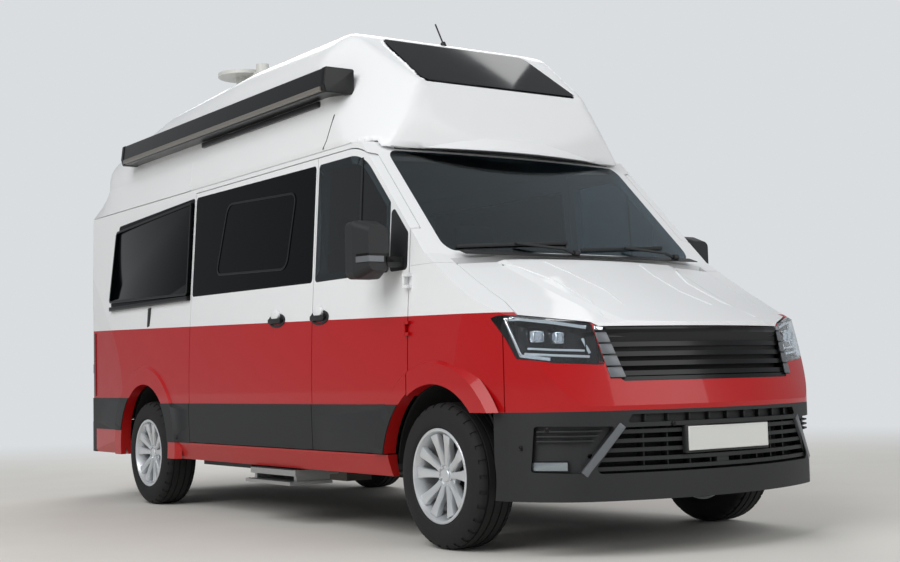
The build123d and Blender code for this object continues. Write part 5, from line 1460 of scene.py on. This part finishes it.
def camera_matrix():
    """The photograph's viewpoint: heading, tilt and a slight roll."""
    yaw, pitch, roll = (math.radians(a) for a in (CAMERA_YAW, CAMERA_PITCH, CAMERA_ROLL))
    ahead = Vector((math.cos(yaw) * math.cos(pitch), math.sin(yaw) * math.cos(pitch), math.sin(pitch)))
    right = Vector((math.sin(yaw), -math.cos(yaw), 0.0))
    up = right.cross(ahead)
    across = right * math.cos(roll) + up * math.sin(roll)
    raised = up * math.cos(roll) - right * math.sin(roll)
    matrix = Matrix((across, raised, -ahead)).transposed().to_4x4()
    matrix.translation = CAMERA_PLACE
    return matrix


def floor_finish():
    """Pale matt floor, faintly mottled, that fades into the backdrop far from the van."""
    material, tree, shader, place = new_material("pale_studio_floor")
    speck = node(tree, "ShaderNodeTexNoise", {"Vector": place, "Scale": 1.5, "Detail": 5.0})
    first, second = (hex_rgba(code) for code in FLOOR_TONES)
    tone = node(
        tree, "ShaderNodeMix", {"Factor": speck.outputs["Fac"], "A": first, "B": second}, data_type="RGBA"
    )
    tree.links.new(tone.outputs["Result"], shader.inputs["Base Color"])
    shader.inputs["Roughness"].default_value = 0.85
    reach = node(tree, "ShaderNodeVectorMath", {0: place}, operation="LENGTH")
    fade = node(
        tree, "ShaderNodeMapRange",
        {"Value": reach.outputs["Value"], "From Min": FADE_NEAR, "From Max": FADE_FAR},
        interpolation_type="SMOOTHSTEP",
    )
    rays = node(tree, "ShaderNodeLightPath").outputs
    bounce = node(
        tree, "ShaderNodeMath", {0: rays["Is Glossy Ray"], 1: rays["Is Transmission Ray"]},
        operation="MAXIMUM",
    )
    seen = node(
        tree, "ShaderNodeMath", {0: rays["Is Camera Ray"], 1: bounce.outputs[0]}, operation="MAXIMUM"
    )
    share = node(tree, "ShaderNodeMath", {0: fade.outputs[0], 1: seen.outputs[0]}, operation="MULTIPLY")
    haze = node(tree, "ShaderNodeEmission", {"Color": hex_rgba(BACKDROP), "Strength": 1.0})
    blend = node(
        tree, "ShaderNodeMixShader", {0: share.outputs[0], 1: shader.outputs[0], 2: haze.outputs[0]}
    )
    tree.links.new(blend.outputs[0], tree.nodes["Material Output"].inputs["Surface"])
    return material


def studio_sky():
    """Soft grey sky light, with the plain backdrop where the camera or clear glass looks at it."""
    world = bpy.data.worlds.new("studio_sky")
    world.use_nodes = True
    tree = world.node_tree
    sky = tree.nodes["Background"]
    sky.inputs["Color"].default_value = hex_rgba(SKY)
    sky.inputs["Strength"].default_value = SKY_STRENGTH
    backdrop = node(tree, "ShaderNodeBackground", {"Color": hex_rgba(BACKDROP), "Strength": 1.0})
    rays = node(tree, "ShaderNodeLightPath").outputs
    seen = node(
        tree, "ShaderNodeMath", {0: rays["Is Camera Ray"], 1: rays["Is Transmission Ray"]},
        operation="MAXIMUM",
    )
    mix = node(
        tree, "ShaderNodeMixShader", {0: seen.outputs[0], 1: sky.outputs[0], 2: backdrop.outputs[0]}
    )
    tree.links.new(mix.outputs[0], tree.nodes["World Output"].inputs["Surface"])
    return world


class VAN_OT_stage(bpy.types.Operator):
    """Set the floor, the lamps, the world and the camera"""

    bl_idname = "van.stage"
    bl_label = "Stage"

    def execute(self, context):
        only(None)
        bpy.ops.mesh.primitive_circle_add(
            vertices=96, radius=FLOOR_RADIUS, fill_type="NGON", location=(0, 0, 0)
        )
        floor = context.active_object
        floor.name = "studio_floor"
        floor.data.materials.append(floor_finish())
        for name, place, size, power in LAMPS:
            bpy.ops.object.light_add(type="AREA", location=place)
            lamp = context.active_object
            lamp.name = name
            lamp.data.size = size
            lamp.data.energy = power
            lamp.rotation_euler = (LAMP_AIM - Vector(place)).to_track_quat("-Z", "Y").to_euler()
        context.scene.world = studio_sky()
        camera = bpy.data.objects.new("camera", bpy.data.cameras.new("camera"))
        context.scene.collection.objects.link(camera)
        camera.data.sensor_width = CAMERA_SENSOR
        camera.data.lens = CAMERA_LENS
        camera.data.clip_end = CAMERA_REACH
        camera.matrix_world = camera_matrix()
        context.scene.camera = camera
        context.scene.view_settings.view_transform = "Standard"
        return {"FINISHED"}


# Panel and start

OPERATORS = (
    VAN_OT_finishes,
    VAN_OT_side_band,
    VAN_OT_wheels,
    VAN_OT_headlamps,
    VAN_OT_grille,
    VAN_OT_bumper,
    VAN_OT_handles,
    VAN_OT_mirrors,
    VAN_OT_windows,
    VAN_OT_cowl,
    VAN_OT_roof_shell,
    VAN_OT_roof_fittings,
    VAN_OT_visor_and_creases,
    VAN_OT_seats,
    VAN_OT_step_and_lamps,
    VAN_OT_stage,
)


class VAN_PT_dressing(bpy.types.Panel):
    """Lists the van's pieces in the sidebar"""

    bl_label = "Camper van"
    bl_idname = "VAN_PT_dressing"
    bl_space_type = "VIEW_3D"
    bl_region_type = "UI"
    bl_category = "Van"

    def draw(self, context):
        for group in (context.scene.van_colours, context.scene.van_sizes):
            for name in group.bl_rna.properties.keys():
                if name not in ("rna_type", "name"):
                    self.layout.prop(group, name)
        for operator in OPERATORS:
            self.layout.operator(operator.bl_idname)


CLASSES = (VanColours, VanSizes, *OPERATORS, VAN_PT_dressing)


def register():
    for cls in CLASSES:
        bpy.utils.register_class(cls)
    bpy.types.Scene.van_colours = bpy.props.PointerProperty(type=VanColours)
    bpy.types.Scene.van_sizes = bpy.props.PointerProperty(type=VanSizes)


def unregister():
    del bpy.types.Scene.van_sizes
    del bpy.types.Scene.van_colours
    for cls in reversed(CLASSES):
        bpy.utils.unregister_class(cls)


def main():
    register()
    for operator in OPERATORS:
        group, name = operator.bl_idname.split(".")
        getattr(getattr(bpy.ops, group), name)()


if __name__ == "__main__":
    main()
